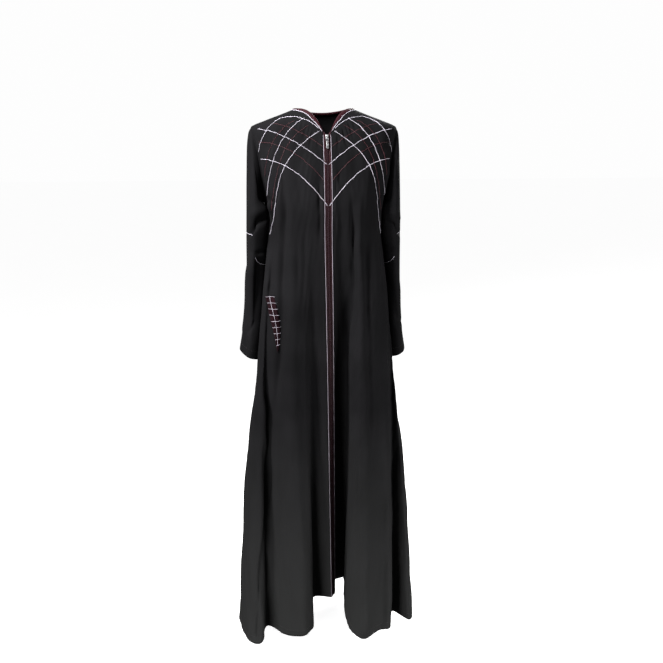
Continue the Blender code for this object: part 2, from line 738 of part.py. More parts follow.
def slider_frame():
    """From the slider's own frame to the garment's, with the slider's middle on the zip."""
    level = ZIP_TOP - SLIDER_LENGTH / 2
    below, above = (Vector((0, torso_depth(0, level + d, False), level + d)) for d in (-0.004, 0.004))
    up = (above - below).normalized()
    across = Vector((1, 0, 0))
    out = across.cross(up)
    return Matrix.Translation((above + below) / 2) @ Matrix((across, up, out)).transposed().to_4x4()


def build_slider(silver):
    frame = slider_frame()
    half = SLIDER_WIDTH / 2
    top = LIFT + SLIDER_THICK
    slider = block(
        "zip_slider", (-half, -SLIDER_LENGTH / 2, LIFT), (half, SLIDER_LENGTH / 2, top), frame, silver
    )
    bevel = slider.modifiers.new("Bevel", "BEVEL")
    bevel.width = SLIDER_THICK / 3
    bevel.segments = 2
    reach = BRIDGE_LENGTH / 2
    sides = BRIDGE_WIDTH / 2
    crown = top + BRIDGE_HOLLOW + BRIDGE_THICK
    bridge = block("slider_bridge", (-sides, -reach, top - BRIDGE_THICK / 2), (sides, reach, crown), frame, silver)
    hollow = block(
        "slider_hollow",
        (-SLIDER_WIDTH, BRIDGE_THICK - reach, top),
        (SLIDER_WIDTH, reach - BRIDGE_THICK, top + BRIDGE_HOLLOW),
        frame,
        silver,
    )
    combine(bridge, hollow, "DIFFERENCE")
    combine(slider, bridge, "UNION")


def build_pull_tab(silver):
    """The tab hangs from its bar, which lies in the slider's bridge. The bar is its hinge."""
    hinge = slider_frame() @ Matrix.Translation((0, HINGE_UP, LIFT + SLIDER_THICK + BRIDGE_HOLLOW / 2))
    half, thick, bar = TAB_WIDTH / 2, TAB_THICK / 2, TAB_BAR / 2
    tab = block("zip_pull_tab", (-half, -TAB_LENGTH, -thick), (half, bar, thick), hinge, silver)
    bevel = tab.modifiers.new("Bevel", "BEVEL")
    bevel.width = TAB_THICK / 4
    bevel.segments = 2
    eye = block(
        "tab_eye", (-TAB_EYE_HALF, -TAB_EYE, -TAB_WIDTH), (TAB_EYE_HALF, -bar, TAB_WIDTH), hinge, silver
    )
    combine(tab, eye, "DIFFERENCE")
    print("hinge of the pull tab at", [round(c, 5) for c in hinge.translation])


AXES = (Vector((1, 0, 0)), Vector((0, 1, 0)), Vector((0, 0, 1)))


def main():
    for thing in list(bpy.data.objects):
        bpy.data.objects.remove(thing)
    crepe = make_material("black_crepe", (0.012, 0.012, 0.013), 0.75)
    white = make_material("white_piping", (0.78, 0.76, 0.80), 0.55)
    wine = make_material("wine_satin", (0.075, 0.012, 0.020), 0.50)
    check = make_material("checked_welt", (0.060, 0.012, 0.018), 0.65)
    silver = make_material("silver_metal", (0.72, 0.72, 0.74), 0.28, metallic=1.0)
    panels = build_fronts(crepe)
    build_back(crepe)
    bands = {}
    for side in (-1, 1):
        rings, normals = build_sleeve(side, crepe)
        build_elbow_piping(side, rings, normals, white)
        bands[side] = build_zip_band(side, wine)
    build_neck_trims(white, wine)
    build_zip_pipings(panels, white)
    build_lattice(panels, bands, white, wine)
    build_pocket(panels[-1][1], check)
    build_slider(silver)
    build_pull_tab(silver)


main()
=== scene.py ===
# %% [markdown]
# # A black abaya with a piped yoke
#
# An abaya is a long, loose overgarment. This one is black crepe with a zip down the whole front, a
# wine-coloured band under the zip, white and wine piping that crosses on the yoke, and long narrow
# sleeves. It is shown worn, with nothing inside. Everything here is in metres and +Z is up. The
# origin lies between the two neck points, the front faces -Y and the wearer's left is +X.
#
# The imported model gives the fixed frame. Its cloth solids are plain walls, so each of them is
# replaced below by a finer sheet of cloth with its own creases, and the trims are laid on those.

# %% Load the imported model
from math import cos, pi, radians, sin

import bmesh
import bpy
import numpy as np
from mathutils import Matrix, Vector
from mathutils.bvhtree import BVHTree


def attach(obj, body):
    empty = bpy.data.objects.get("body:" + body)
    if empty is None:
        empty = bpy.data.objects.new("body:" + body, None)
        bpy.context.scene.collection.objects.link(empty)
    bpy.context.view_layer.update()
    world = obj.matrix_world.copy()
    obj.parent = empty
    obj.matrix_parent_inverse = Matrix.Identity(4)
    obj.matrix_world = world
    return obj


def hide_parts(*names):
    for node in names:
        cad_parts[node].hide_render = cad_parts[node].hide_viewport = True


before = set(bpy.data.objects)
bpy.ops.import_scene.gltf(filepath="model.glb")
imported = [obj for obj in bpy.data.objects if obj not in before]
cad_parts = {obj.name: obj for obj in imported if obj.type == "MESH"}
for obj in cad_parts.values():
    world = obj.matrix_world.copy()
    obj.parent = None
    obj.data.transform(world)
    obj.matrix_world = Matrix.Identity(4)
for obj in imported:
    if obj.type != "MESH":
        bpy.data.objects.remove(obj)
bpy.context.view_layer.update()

# %% [markdown]
# ## Camera
#
# A photographer would stand nearly three metres away with a short telephoto lens, a little above the
# garment's middle and a few degrees to the wearer's right. The garment then fills the square frame
# from the neck to just above the floor.

# %% Camera
CAMERA_PLACE = Vector((-0.275, -2.821, -0.002))
CAMERA_TARGET = Vector((0.0213, 0.0, -0.605))
LENS = 56.74

bpy.ops.object.select_all(action="DESELECT")
bpy.ops.object.camera_add(location=CAMERA_PLACE)
camera = bpy.context.object
camera.rotation_euler = (CAMERA_TARGET - CAMERA_PLACE).to_track_quat("-Z", "Y").to_euler()
camera.data.lens = LENS
camera.data.clip_end = 100
bpy.context.scene.camera = camera
print("camera looks down by", round(90 - camera.rotation_euler.x * 180 / pi, 1), "degrees")

# %% [markdown]
# ## Materials: small helpers
#
# A material is a tree of nodes. To keep each tree short, one helper adds a node with its settings
# and links, so that a noise, a ramp or a bump is one line. Patterns that follow the cloth read its
# UV map, which is laid out in metres, and patterns that are the same everywhere read Object
# coordinates.

# %% Helpers for node trees
def new_material(name, roughness=0.8, metallic=0.0, sheen=0.0, sheen_roughness=0.5, gloss=0.5):
    """A material with its shader and the settings that are the same all over."""
    material = bpy.data.materials.new(name)
    material.use_nodes = True
    shader = material.node_tree.nodes["Principled BSDF"]
    shader.inputs["Roughness"].default_value = roughness
    shader.inputs["Metallic"].default_value = metallic
    shader.inputs["Sheen Weight"].default_value = sheen
    shader.inputs["Sheen Roughness"].default_value = sheen_roughness
    shader.inputs["Specular IOR Level"].default_value = gloss
    return material, shader


def add_node(material, kind, links=None, **settings):
    """A node of this kind. Settings fill its properties, and links fill its inputs."""
    node = material.node_tree.nodes.new(kind)
    for key, value in settings.items():
        setattr(node, key, value)
    for key, value in (links or {}).items():
        socket = node.inputs[key]
        if isinstance(value, bpy.types.NodeSocket):
            material.node_tree.links.new(value, socket)
        else:
            socket.default_value = value
    return node


def coordinates(material, kind, stretch=(1.0, 1.0, 1.0), turn=0.0):
    """Object or UV coordinates, stretched and turned."""
    source = add_node(material, "ShaderNodeTexCoord").outputs[kind]
    mapping = add_node(
        material, "ShaderNodeMapping", {"Vector": source, "Scale": stretch, "Rotation": (0, 0, turn)}
    )
    return mapping.outputs["Vector"]


def noise(material, place, scale, detail=3.0, roughness=0.55):
    links = {"Vector": place, "Scale": scale, "Detail": detail, "Roughness": roughness}
    return add_node(material, "ShaderNodeTexNoise", links).outputs["Fac"]


def stripes(material, place, scale, direction="X", distortion=0.0):
    links = {"Vector": place, "Scale": scale, "Distortion": distortion, "Detail": 0.0}
    wave = add_node(material, "ShaderNodeTexWave", links, bands_direction=direction)
    return wave.outputs["Fac"]


def between(material, value, low, high, to_low=0.0, to_high=1.0):
    """A value moved from the range low to high into another range, and kept inside it."""
    links = {"Value": value, 1: low, 2: high, 3: to_low, 4: to_high}
    return add_node(material, "ShaderNodeMapRange", links).outputs[0]


def calculate(material, operation, first, second=0.0):
    links = {0: first, 1: second}
    return add_node(material, "ShaderNodeMath", links, operation=operation).outputs[0]


def mixed(material, share, first, second):
    """A colour between two colours, each a plain one or another node's."""
    node = add_node(material, "ShaderNodeMix", data_type="RGBA")
    sockets = {0: share, 6: first, 7: second}
    for index, value in sockets.items():
        if isinstance(value, bpy.types.NodeSocket):
            material.node_tree.links.new(value, node.inputs[index])
        else:
            node.inputs[index].default_value = value if index == 0 else (*value, 1.0)
    return node.outputs[2]


def set_bump(material, shader, height, distance, strength=1.0, under=None):
    links = {"Height": height, "Distance": distance, "Strength": strength}
    if under is not None:
        links["Normal"] = under
    bump = add_node(material, "ShaderNodeBump", links).outputs["Normal"]
    material.node_tree.links.new(bump, shader.inputs["Normal"])
    return bump


def set_input(material, shader, name, value):
    material.node_tree.links.new(value, shader.inputs[name])


# %% [markdown]
# ## The crepe
#
# Crepe is woven from hard-twisted yarn, which gives it a fine pebbled grain and an almost matt
# surface. Black crepe is never quite black: it shows slightly uneven dye and a soft sheen at grazing
# angles. Lower down the skirt its colour grows lighter and greyer: this is painted light, with a
# little wear where it brushes the ground. The colour therefore mixes three near-blacks by slow and
# fine noise, and the grain is a bump in two directions.

# %% Crepe
CREPE_DARK = (0.0034, 0.0033, 0.0037)
CREPE_LIGHT = (0.0056, 0.0054, 0.0060)
# The pale grey below serves the grain's flecks. The lower skirt is also mixed towards it, which is painted
# light with a little wear.
CREPE_WORN_AND_LIT = (0.0185, 0.0188, 0.0185)
HEM_WEAR_AND_LIGHT = (-0.80, -1.46)  # levels between which the cloth greys

crepe, crepe_shader = new_material("black_crepe_cloth", 0.86, sheen=0.006, sheen_roughness=0.4, gloss=0.02)
grain_place = coordinates(crepe, "UV", (1.0, 0.75, 1.0))
body_place = coordinates(crepe, "Object")
slow = noise(crepe, body_place, 7.0, 2.0)
fine = noise(crepe, grain_place, 900.0, 2.0)
level = add_node(crepe, "ShaderNodeSeparateXYZ", {0: body_place}).outputs[2]
dye = mixed(crepe, between(crepe, slow, 0.32, 0.68), CREPE_DARK, CREPE_LIGHT)
# Lighter towards the hem: painted light, with a little wear.
hem_wear_and_light = between(crepe, level, HEM_WEAR_AND_LIGHT[0], HEM_WEAR_AND_LIGHT[1], 0.0, 0.7)
worn_and_lit = mixed(crepe, hem_wear_and_light, dye, CREPE_WORN_AND_LIT)
fleck = between(crepe, fine, 0.35, 0.75, 0.0, 0.10)
set_input(crepe, crepe_shader, "Base Color", mixed(crepe, fleck, worn_and_lit, CREPE_WORN_AND_LIT))
set_input(crepe, crepe_shader, "Roughness", between(crepe, slow, 0.3, 0.7, 0.80, 0.92))
pebbles = noise(crepe, grain_place, 1500.0, 3.0, 0.6)
slubs = noise(crepe, coordinates(crepe, "UV", (1.0, 0.12, 1.0)), 620.0, 2.0)
grain = set_bump(crepe, crepe_shader, pebbles, 0.00012, 0.45)
set_bump(crepe, crepe_shader, slubs, 0.00012, 0.35, grain)
print("made", crepe.name)

# %% [markdown]
# ## Wine satin, piping, zip and metal
#
# The band under the zip and round the neck is satin: long floats of yarn give it fine diagonal
# lines and more gloss than the crepe. The piping is a cord in a bias-cut strip, so its weave runs
# slantwise round it. The zip's tape is a dense plain weave, its teeth are smooth nylon, and the
# slider is brushed nickel.

# %% Satin, piping and thread
SATIN_DARK = (0.0115, 0.0022, 0.0036)
SATIN_LIGHT = (0.0310, 0.0080, 0.0110)
SATIN_SHADED = (0.0046, 0.0014, 0.0021)
# Between the two levels below, the satin darkens downwards: painted shade.
SATIN_SHADE_LEVELS = (-0.12, -0.62)  # levels between which the band grows dull
PIPING_WHITE = (0.52, 0.49, 0.55)
PIPING_SHADE = (0.34, 0.31, 0.37)
# The zip's white pipings take the two colours below, about half as bright as the white piping: painted shade.
SHADED_ZIP_PIPING_LIGHT = (0.26, 0.235, 0.27)
SHADED_ZIP_PIPING_DARK = (0.15, 0.13, 0.155)
WINE_PIPING_DARK = (0.020, 0.0042, 0.0060)
WINE_PIPING_LIGHT = (0.048, 0.0115, 0.0150)
THREAD_DARK, THREAD_LIGHT = (0.010, 0.008, 0.009), (0.035, 0.028, 0.032)


def make_satin(name, dark, light, roughness):
    """Satin whose lines run slantwise along the strip, with painted shade that darkens it lower down."""
    satin, shader = new_material(name, roughness, sheen=0.003, sheen_roughness=0.35, gloss=0.045)
    place = coordinates(satin, "UV", turn=radians(35))
    lines = stripes(satin, place, 420.0, distortion=1.5)
    cloudy = noise(satin, coordinates(satin, "Object"), 55.0, 3.0)
    share = calculate(satin, "MULTIPLY", between(satin, cloudy, 0.3, 0.7, 0.25, 1.0), lines)
    level = add_node(satin, "ShaderNodeSeparateXYZ", {0: coordinates(satin, "Object")}).outputs[2]
    # Painted shade: lower down, the satin is mixed towards a darker colour.
    painted_shade = between(satin, level, SATIN_SHADE_LEVELS[0], SATIN_SHADE_LEVELS[1], 0.0, 0.85)
    set_input(satin, shader, "Base Color", mixed(satin, painted_shade, mixed(satin, share, dark, light), SATIN_SHADED))
    high = roughness + 0.12
    set_input(satin, shader, "Roughness", between(satin, cloudy, 0.3, 0.7, roughness - 0.05, high))
    under = set_bump(satin, shader, lines, 0.00015, 0.5)
    puckers = noise(satin, coordinates(satin, "UV", (1.0, 0.5, 1.0)), 160.0, 2.0)
    set_bump(satin, shader, puckers, 0.0006, 0.5, under)
    return satin


def make_piping(name, dark, light, roughness):
    """Bias-cut cloth over a cord: slanting threads, slightly soiled on its sides."""
    piping, shader = new_material(name, roughness, sheen=0.02, sheen_roughness=0.4, gloss=0.2)
    threads = stripes(piping, coordinates(piping, "UV", turn=radians(45)), 520.0, distortion=0.8)
    patches = noise(piping, coordinates(piping, "Object"), 90.0, 3.0)
    clean = between(piping, patches, 0.25, 0.6, 0.45, 1.0)
    tone = calculate(piping, "MULTIPLY", clean, between(piping, threads, 0.0, 1.0, 0.7, 1.0))
    set_input(piping, shader, "Base Color", mixed(piping, tone, dark, light))
    under = set_bump(piping, shader, threads, 0.00018, 0.6)
    set_bump(piping, shader, patches, 0.0004, 0.4, under)
    return piping


satin = make_satin("wine_satin_band", SATIN_DARK, SATIN_LIGHT, 0.42)
white_piping = make_piping("white_piping_cloth", PIPING_SHADE, PIPING_WHITE, 0.62)
wine_piping = make_piping("wine_piping_cloth", WINE_PIPING_DARK, WINE_PIPING_LIGHT, 0.5)
# Painted shade: the zip's pipings are white piping made darker.
shaded_zip_piping = make_piping("zip_piping_cloth", SHADED_ZIP_PIPING_DARK, SHADED_ZIP_PIPING_LIGHT, 0.6)

thread, thread_shader = new_material("dark_thread", 0.6, sheen=0.02, gloss=0.15)
twist = stripes(thread, coordinates(thread, "Object", turn=radians(30)), 900.0)
set_input(thread, thread_shader, "Base Color", mixed(thread, twist, THREAD_DARK, THREAD_LIGHT))
set_bump(thread, thread_shader, twist, 0.0001, 0.6)
print("made", satin.name, white_piping.name, wine_piping.name, thread.name)

# %% Zip tape, teeth and metal
TAPE_DARK, TAPE_LIGHT = (0.0060, 0.0018, 0.0026), (0.0130, 0.0036, 0.0052)
NYLON_DARK, NYLON_LIGHT = (0.0070, 0.0028, 0.0038), (0.0190, 0.0075, 0.0100)
NICKEL_DARK, NICKEL_LIGHT = (0.60, 0.60, 0.62), (0.80, 0.80, 0.81)

tape, tape_shader = new_material("zip_tape", 0.72, sheen=0.004, gloss=0.05)
warp = stripes(tape, coordinates(tape, "UV"), 330.0)
weft = stripes(tape, coordinates(tape, "UV"), 260.0, "Y")
weave = calculate(tape, "MULTIPLY", warp, weft)
dusty = noise(tape, coordinates(tape, "Object"), 40.0)
set_input(tape, tape_shader, "Base Color", mixed(tape, weave, TAPE_DARK, TAPE_LIGHT))
set_input(tape, tape_shader, "Roughness", between(tape, dusty, 0.3, 0.7, 0.64, 0.8))
set_bump(tape, tape_shader, weave, 0.0002, 0.6)

nylon, nylon_shader = new_material("zip_teeth_nylon", 0.46, gloss=0.09)
rubbed = noise(nylon, coordinates(nylon, "Object"), 140.0, 3.0)
set_input(nylon, nylon_shader, "Base Color", mixed(nylon, rubbed, NYLON_DARK, NYLON_LIGHT))
set_input(nylon, nylon_shader, "Roughness", between(nylon, rubbed, 0.3, 0.7, 0.3, 0.5))
set_bump(nylon, nylon_shader, noise(nylon, coordinates(nylon, "Object"), 1800.0), 0.00006, 0.5)

metal, metal_shader = new_material("brushed_nickel", 0.27, metallic=1.0)
brushed = noise(metal, coordinates(metal, "Object", (1.0, 1.0, 0.06)), 1500.0, 2.0)
scuffs = noise(metal, coordinates(metal, "Object"), 260.0, 4.0)
set_input(metal, metal_shader, "Base Color", mixed(metal, scuffs, NICKEL_DARK, NICKEL_LIGHT))
set_input(metal, metal_shader, "Roughness", between(metal, scuffs, 0.3, 0.7, 0.18, 0.36))
set_bump(metal, metal_shader, brushed, 0.00004, 0.5)
print("made", tape.name, nylon.name, metal.name)

# %% [markdown]
# ## The garment's shape
#
# A pattern maker would know the body's girth at each level. Here that is a table of half torsos:
# how far the cloth reaches to the side, to the front and to the back. Below the waist the skirt
# opens into folds, and a second table says where each fold's crest and valley meets the hem. A
# smooth curve through a table's rows fills in everything between. These tables and functions repeat
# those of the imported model, so the cloth made here lies on its solids.

# %% Tables of the torso, the folds and the sleeves
ZIP_EDGE_ANGLE = 1.6
ROUNDNESS = 2.5
SLEEVE_ROUNDNESS = 2.2
ARMPIT = -0.245
FOLDS_START = -0.290
FOLD_GROWTH = 1.15
ZIP_HALF = 0.0097
HOLLOW = (0.040, 0.125)  # where the sleeve's hollow lies in depth, and how far it reaches
BODY_SECTIONS = (
    # level, half width, front, back, hollow
    (0.020, 0.025, 0.030, 0.034, 0.000),
    (0.000, 0.075, 0.056, 0.062, 0.000),
    (-0.015, 0.113, 0.067, 0.076, 0.000),
    (-0.030, 0.153, 0.076, 0.087, 0.000),
    (-0.046, 0.190, 0.084, 0.096, 0.000),
    (-0.070, 0.194, 0.093, 0.105, 0.000),
    (-0.130, 0.185, 0.111, 0.117, 0.000),
    (-0.190, 0.171, 0.125, 0.121, 0.000),
    (-0.245, 0.1605, 0.131, 0.120, 0.000),
    (-0.332, 0.156, 0.128, 0.118, 0.000),
    (-0.420, 0.170, 0.134, 0.128, 0.018),
    (-0.500, 0.184, 0.140, 0.140, 0.032),
    (-0.650, 0.197, 0.146, 0.158, 0.034),
    (-0.790, 0.206, 0.148, 0.172, 0.018),
    (-0.990, 0.220, 0.150, 0.190, 0.000),
    (-1.190, 0.232, 0.150, 0.205, 0.000),
    (-1.460, 0.245, 0.150, 0.220, 0.000),
)
HEM_FOLDS = (
    # angle round the body, then x, y and level at the hem
    (-170.0, -0.050, 0.185, -1.442),
    (-152.0, -0.100, 0.238, -1.452),
    (-134.0, -0.150, 0.170, -1.440),
    (-117.0, -0.222, 0.165, -1.450),
    (-103.0, -0.222, 0.070, -1.436),
    (-90.0, -0.248, -0.010, -1.442),
    (-80.0, -0.242, -0.075, -1.448),
    (-72.0, -0.222, -0.132, -1.458),
    (-64.0, -0.190, -0.142, -1.460),
    (-57.0, -0.172, -0.078, -1.442),
    (-44.0, -0.132, -0.110, -1.449),
    (-29.0, -0.082, -0.130, -1.452),
    (-19.0, -0.042, -0.098, -1.446),
    (-15.0, -0.037, -0.062, -1.422),
    (-10.0, -0.034, -0.020, -1.390),
    (-ZIP_EDGE_ANGLE, 0.016, -0.052, -1.376),
    (0.0, 0.0220, -0.0425, -1.374),
    (ZIP_EDGE_ANGLE, 0.0275, -0.0325, -1.372),
    (6.0, 0.038, 0.052, -1.370),
    (11.5, 0.066, 0.070, -1.376),
    (17.0, 0.056, -0.010, -1.405),
    (21.5, 0.058, -0.092, -1.446),
    (29.0, 0.096, -0.150, -1.459),
    (40.0, 0.146, -0.114, -1.453),
    (56.0, 0.180, -0.112, -1.447),
    (69.0, 0.195, -0.035, -1.436),
    (81.0, 0.238, -0.082, -1.444),
    (92.0, 0.257, -0.005, -1.446),
    (105.0, 0.218, 0.080, -1.436),
    (120.0, 0.215, 0.172, -1.450),
    (136.0, 0.140, 0.168, -1.440),
    (153.0, 0.088, 0.236, -1.451),
    (171.0, 0.030, 0.190, -1.442),
)
SLEEVE_RINGS = (
    # outer x and level, inner x and level, front, back
    (0.2000, -0.064, 0.1622, -0.252, -0.056, 0.062),
    (0.2040, -0.115, 0.1640, -0.262, -0.062, 0.070),
    (0.2055, -0.175, 0.1652, -0.275, -0.064, 0.077),
    (0.2065, -0.235, 0.1660, -0.295, -0.064, 0.083),
    (0.2075, -0.295, 0.1665, -0.328, -0.060, 0.088),
    (0.2085, -0.350, 0.1670, -0.368, -0.053, 0.092),
    (0.2105, -0.420, 0.1680, -0.428, -0.043, 0.098),
    (0.2140, -0.490, 0.1700, -0.492, -0.036, 0.102),
    (0.2185, -0.560, 0.1745, -0.567, -0.032, 0.106),
    (0.2245, -0.615, 0.1805, -0.630, -0.030, 0.108),
    (0.2310, -0.657, 0.1865, -0.680, -0.029, 0.108),
)
print(len(BODY_SECTIONS), "sections,", len(HEM_FOLDS), "crests and valleys")


# %% A smooth curve through a table
def curve_through(table, places):
    """A table's columns at places between its rows, on a smooth curve through all the rows."""
    rows = np.array(table, float)
    rows = rows[np.argsort(rows[:, 0])]
    places = np.asarray(places, float)
    last = len(rows) - 1
    index = np.arange(last + 1)
    before, after = np.maximum(index - 1, 0), np.minimum(index + 1, last)
    slopes = (rows[after, 1:] - rows[before, 1:]) / (rows[after, 0] - rows[before, 0])[:, None]
    i = np.clip(np.searchsorted(rows[:, 0], places) - 1, 0, last - 1)
    step = (rows[i + 1, 0] - rows[i, 0])[..., None]
    t = (places[..., None] - rows[i, 0][..., None]) / step
    return (
        rows[i, 1:] * (1 + 2 * t) * (1 - t) ** 2
        + rows[i + 1, 1:] * (3 - 2 * t) * t**2
        + slopes[i] * step * t * (1 - t) ** 2
        - slopes[i + 1] * step * t**2 * (1 - t)
    )


# %% Torso and skirt
HEM_ROWS = [(a + turn, *rest) for turn in (-360, 0, 360) for a, *rest in HEM_FOLDS]


def stacked(*columns):
    return np.stack(np.broadcast_arrays(*columns), axis=-1)


def torso_depth(x, level, behind):
    """How far the torso reaches forward or back at x."""
    half, front, back, _ = np.moveaxis(curve_through(BODY_SECTIONS, level), -1, 0)
    share = np.maximum(0.0, 1 - np.minimum(1.0, np.abs(x) / half) ** ROUNDNESS) ** (1 / ROUNDNESS)
    return np.where(behind, back * share, -front * share)


def torso_point(angle, level):
    """Points of the unfolded torso. The zip's edges stay ZIP_HALF from the centre."""
    angle, level = np.broadcast_arrays(np.asarray(angle, float), np.asarray(level, float))
    half, _, _, hollow = np.moveaxis(curve_through(BODY_SECTIONS, level), -1, 0)
    turn = np.abs(angle)
    power = 2 / ROUNDNESS
    share = np.maximum(0.0, np.sin(np.radians(np.minimum(turn, 180.0)))) ** power
    edge = sin(radians(ZIP_EDGE_ANGLE)) ** power
    beside = ZIP_HALF + (half - ZIP_HALF) * (share - edge) / (1 - edge)
    x = np.where(turn <= 90, beside, half * share)
    x = np.where(turn < ZIP_EDGE_ANGLE, ZIP_HALF * turn / ZIP_EDGE_ANGLE, x)
    y = torso_depth(x, level, turn > 90)
    near = np.minimum(1.0, np.abs(y - HOLLOW[0]) / HOLLOW[1])
    x = x - hollow * 0.5 * (1 + np.cos(pi * near)) * (x / half) ** 4
    return stacked(np.where(angle >= 0, x, -x), y, level)


def skirt_point(angle, down):
    """Points of the skirt, with down from 0 at the armpits to 1 at the hem."""
    angle, down = np.broadcast_arrays(np.asarray(angle, float), np.asarray(down, float))
    hem = curve_through(HEM_ROWS, angle)
    hem_level = hem[..., 2]
    level = ARMPIT + (hem_level - ARMPIT) * down
    grown = np.maximum(0.0, (FOLDS_START - level) / (FOLDS_START - hem_level)) ** FOLD_GROWTH
    return torso_point(angle, level) + (hem - torso_point(angle, hem_level)) * grown[..., None]


print("hem at the centre front:", skirt_point(0.0, 1.0).round(3))


# %% Shoulder, neck and armhole
NECK_HALF = 0.075
NECK_V_BOTTOM = -0.058
NECK_V_CURVE = 2.8
BACK_NECK_DROP = 0.012
ARMHOLE_TOP = -0.045
ARMHOLE_REACH = (0.050, 0.056)  # forward and back
CHEST_LEVEL = -0.17
CHEST_X_SHARE = 0.55
SEARCH_SHARES = (0.3, 1.6)  # parts of the way from inside the chest, with the skin between them


HALVINGS = 40  # of the way, until the skin is found


def outside(points):
    """Above 0 outside the torso, and below 0 inside."""
    x, y, level = np.moveaxis(points, -1, 0)
    rows = curve_through(BODY_SECTIONS, np.minimum(level, BODY_SECTIONS[0][0]))
    half, front, back, _ = np.moveaxis(rows, -1, 0)
    depth = np.where(y > 0, back, front)
    return (np.abs(x) / half) ** ROUNDNESS + (np.abs(y) / depth) ** ROUNDNESS - 1


def onto_torso(points):
    """Points moved onto the upper torso, along lines from inside the chest."""
    centre = stacked(CHEST_X_SHARE * points[..., 0], 0.0, CHEST_LEVEL)
    near = np.full(points.shape[:-1] + (1,), SEARCH_SHARES[0])
    far = np.full(points.shape[:-1] + (1,), SEARCH_SHARES[1])
    for _ in range(HALVINGS):
        middle = (near + far) / 2
        inside = (outside(centre + (points - centre) * middle) < 0)[..., None]
        near, far = np.where(inside, middle, near), np.where(inside, far, middle)
    return centre + (points - centre) * (near + far) / 2


def armhole_point(side, behind, up):
    """The armhole's edge, with up from 0 at the armpit to 1 at the shoulder's end."""
    level = (ARMHOLE_TOP + ARMPIT) / 2 - (ARMHOLE_TOP - ARMPIT) / 2 * np.cos(pi * up)
    y = np.where(behind, ARMHOLE_REACH[1], -ARMHOLE_REACH[0]) * np.sin(pi * up)
    half, front, back, _ = np.moveaxis(curve_through(BODY_SECTIONS, level), -1, 0)
    depth = np.where(behind, back, front)
    share = (1 - (np.abs(y) / depth) ** ROUNDNESS) ** (1 / ROUNDNESS)
    return stacked(side * half * share, y, level)


def neck_point(side, behind, out):
    """The neck's edge, with out from 0 at the centre to 1 at the neck point."""
    if behind:
        x = NECK_HALF * np.sin(pi / 2 * out)
        level = -BACK_NECK_DROP * np.cos(pi / 2 * out) ** 2
    else:
        x = ZIP_HALF + (NECK_HALF - ZIP_HALF) * out
        level = NECK_V_BOTTOM * np.maximum(0.0, 1 - out) ** NECK_V_CURVE
    return stacked(side * x, torso_depth(x, level, behind), level)


def shoulder_point(side, out):
    """The shoulder seam, with out from 0 at the neck point to 1 at the shoulder's end."""
    level = ARMHOLE_TOP * out
    half = curve_through(BODY_SECTIONS, level)[..., 0]
    return stacked(side * half, 0.0, level)


print("shoulder's end:", shoulder_point(1, np.float64(1.0)).round(3))

# %% [markdown]
# ## A panel as a grid of points
#
# A sheet of cloth is easiest to shape as a grid: its rows go up from the hem, and its columns go
# from the centre to the side seam. The same grid gives each point two cloth coordinates in metres,
# how far it lies across the cloth and how far up from the hem, as on the cutting table. They place
# the creases, and they become the UV map that the weave follows.

# %% The grids of the panels
SKIRT_ROWS = 215
YOKE_ROWS = 62
NECK_SHARE = 0.44
HEM_SAMPLES = 400
COLUMNS = {"front_right": 100, "front_left": 114, "back": 75}


def lengths(grid, axis):
    """How far each point lies from the first one of its row or column, along the grid."""
    steps = np.linalg.norm(np.diff(grid, axis=axis), axis=-1)
    start = np.zeros_like(np.take(steps, [0], axis=axis))
    return np.concatenate([start, np.cumsum(steps, axis=axis)], axis=axis)


def panel_angles(side, behind, columns):
    """Angles of a half panel's columns, evenly spaced along the hem."""
    first = 180.0 if behind else ZIP_EDGE_ANGLE
    angles = np.linspace(first, 90.0, HEM_SAMPLES) * side
    walked = lengths(curve_through(HEM_ROWS, angles)[:, :2], 0)
    return np.interp(np.linspace(0, walked[-1], columns + 1), walked, angles)


def half_panel(side, behind, columns):
    """A grid from the hem up to the neck and shoulder, its rows from the centre to the side."""
    down = 1 - np.arange(SKIRT_ROWS + 1) / SKIRT_ROWS
    skirt = skirt_point(panel_angles(side, behind, columns)[None, :], down[:, None])
    chest = skirt[-1]
    across = lengths(chest, 0) / lengths(chest, 0)[-1]
    corner = int(np.argmin(np.abs(across - NECK_SHARE)))
    neck = neck_point(side, behind, across[: corner + 1] / across[corner])
    shoulder = shoulder_point(side, (across[corner + 1 :] - across[corner]) / (1 - across[corner]))
    top = np.concatenate([neck, shoulder])
    up = np.arange(1, YOKE_ROWS) / YOKE_ROWS
    u, v = across[None, :, None], up[:, None, None]
    outer = armhole_point(side, behind, up)[:, None, :]
    flat = chest * (1 - v) + top * v
    flat = flat + (chest[0] * (1 - v) + top[0] * v) * (1 - u) + outer * u
    flat = flat - (chest[0] * (1 - u) + chest[-1] * u) * (1 - v)
    flat = flat - (top[0] * (1 - u) + top[-1] * u) * v
    yoke = onto_torso(flat)
    yoke[:, -1] = outer[:, 0]
    return np.concatenate([skirt, yoke, top[None]])


def normals_of(grid, closed=False):
    """Outward directions of a grid whose rows go up and whose columns go leftwards."""
    if closed:
        across = np.roll(grid, -1, axis=1) - np.roll(grid, 1, axis=1)
    else:
        across = np.gradient(grid, axis=1)
    normal = np.cross(across, np.gradient(grid, axis=0))
    return normal / np.maximum(np.linalg.norm(normal, axis=2, keepdims=True), 1e-12)


plain = {
    "front_right": half_panel(-1, False, COLUMNS["front_right"])[:, ::-1],
    "front_left": half_panel(1, False, COLUMNS["front_left"]),
}
back_left, back_right = (half_panel(side, True, COLUMNS["back"]) for side in (1, -1))
plain["back"] = np.concatenate([back_left[:, ::-1], back_right[:, 1:]], axis=1)
for name, grid in plain.items():
    print(name, grid.shape, "hem", round(float(lengths(grid, 1)[0, -1]), 3), "m")


# %% [markdown]
# ## Finding a place on the cloth
#
# Creases and trims are laid out as seen from the front, by x and level. A ray from in front of the
# garment meets the cloth at that place, and its three nearest grid points give the direction that
# points out of the cloth and the two cloth coordinates there.

# %% A surface that answers where a line of sight meets it
FAR = 1.0


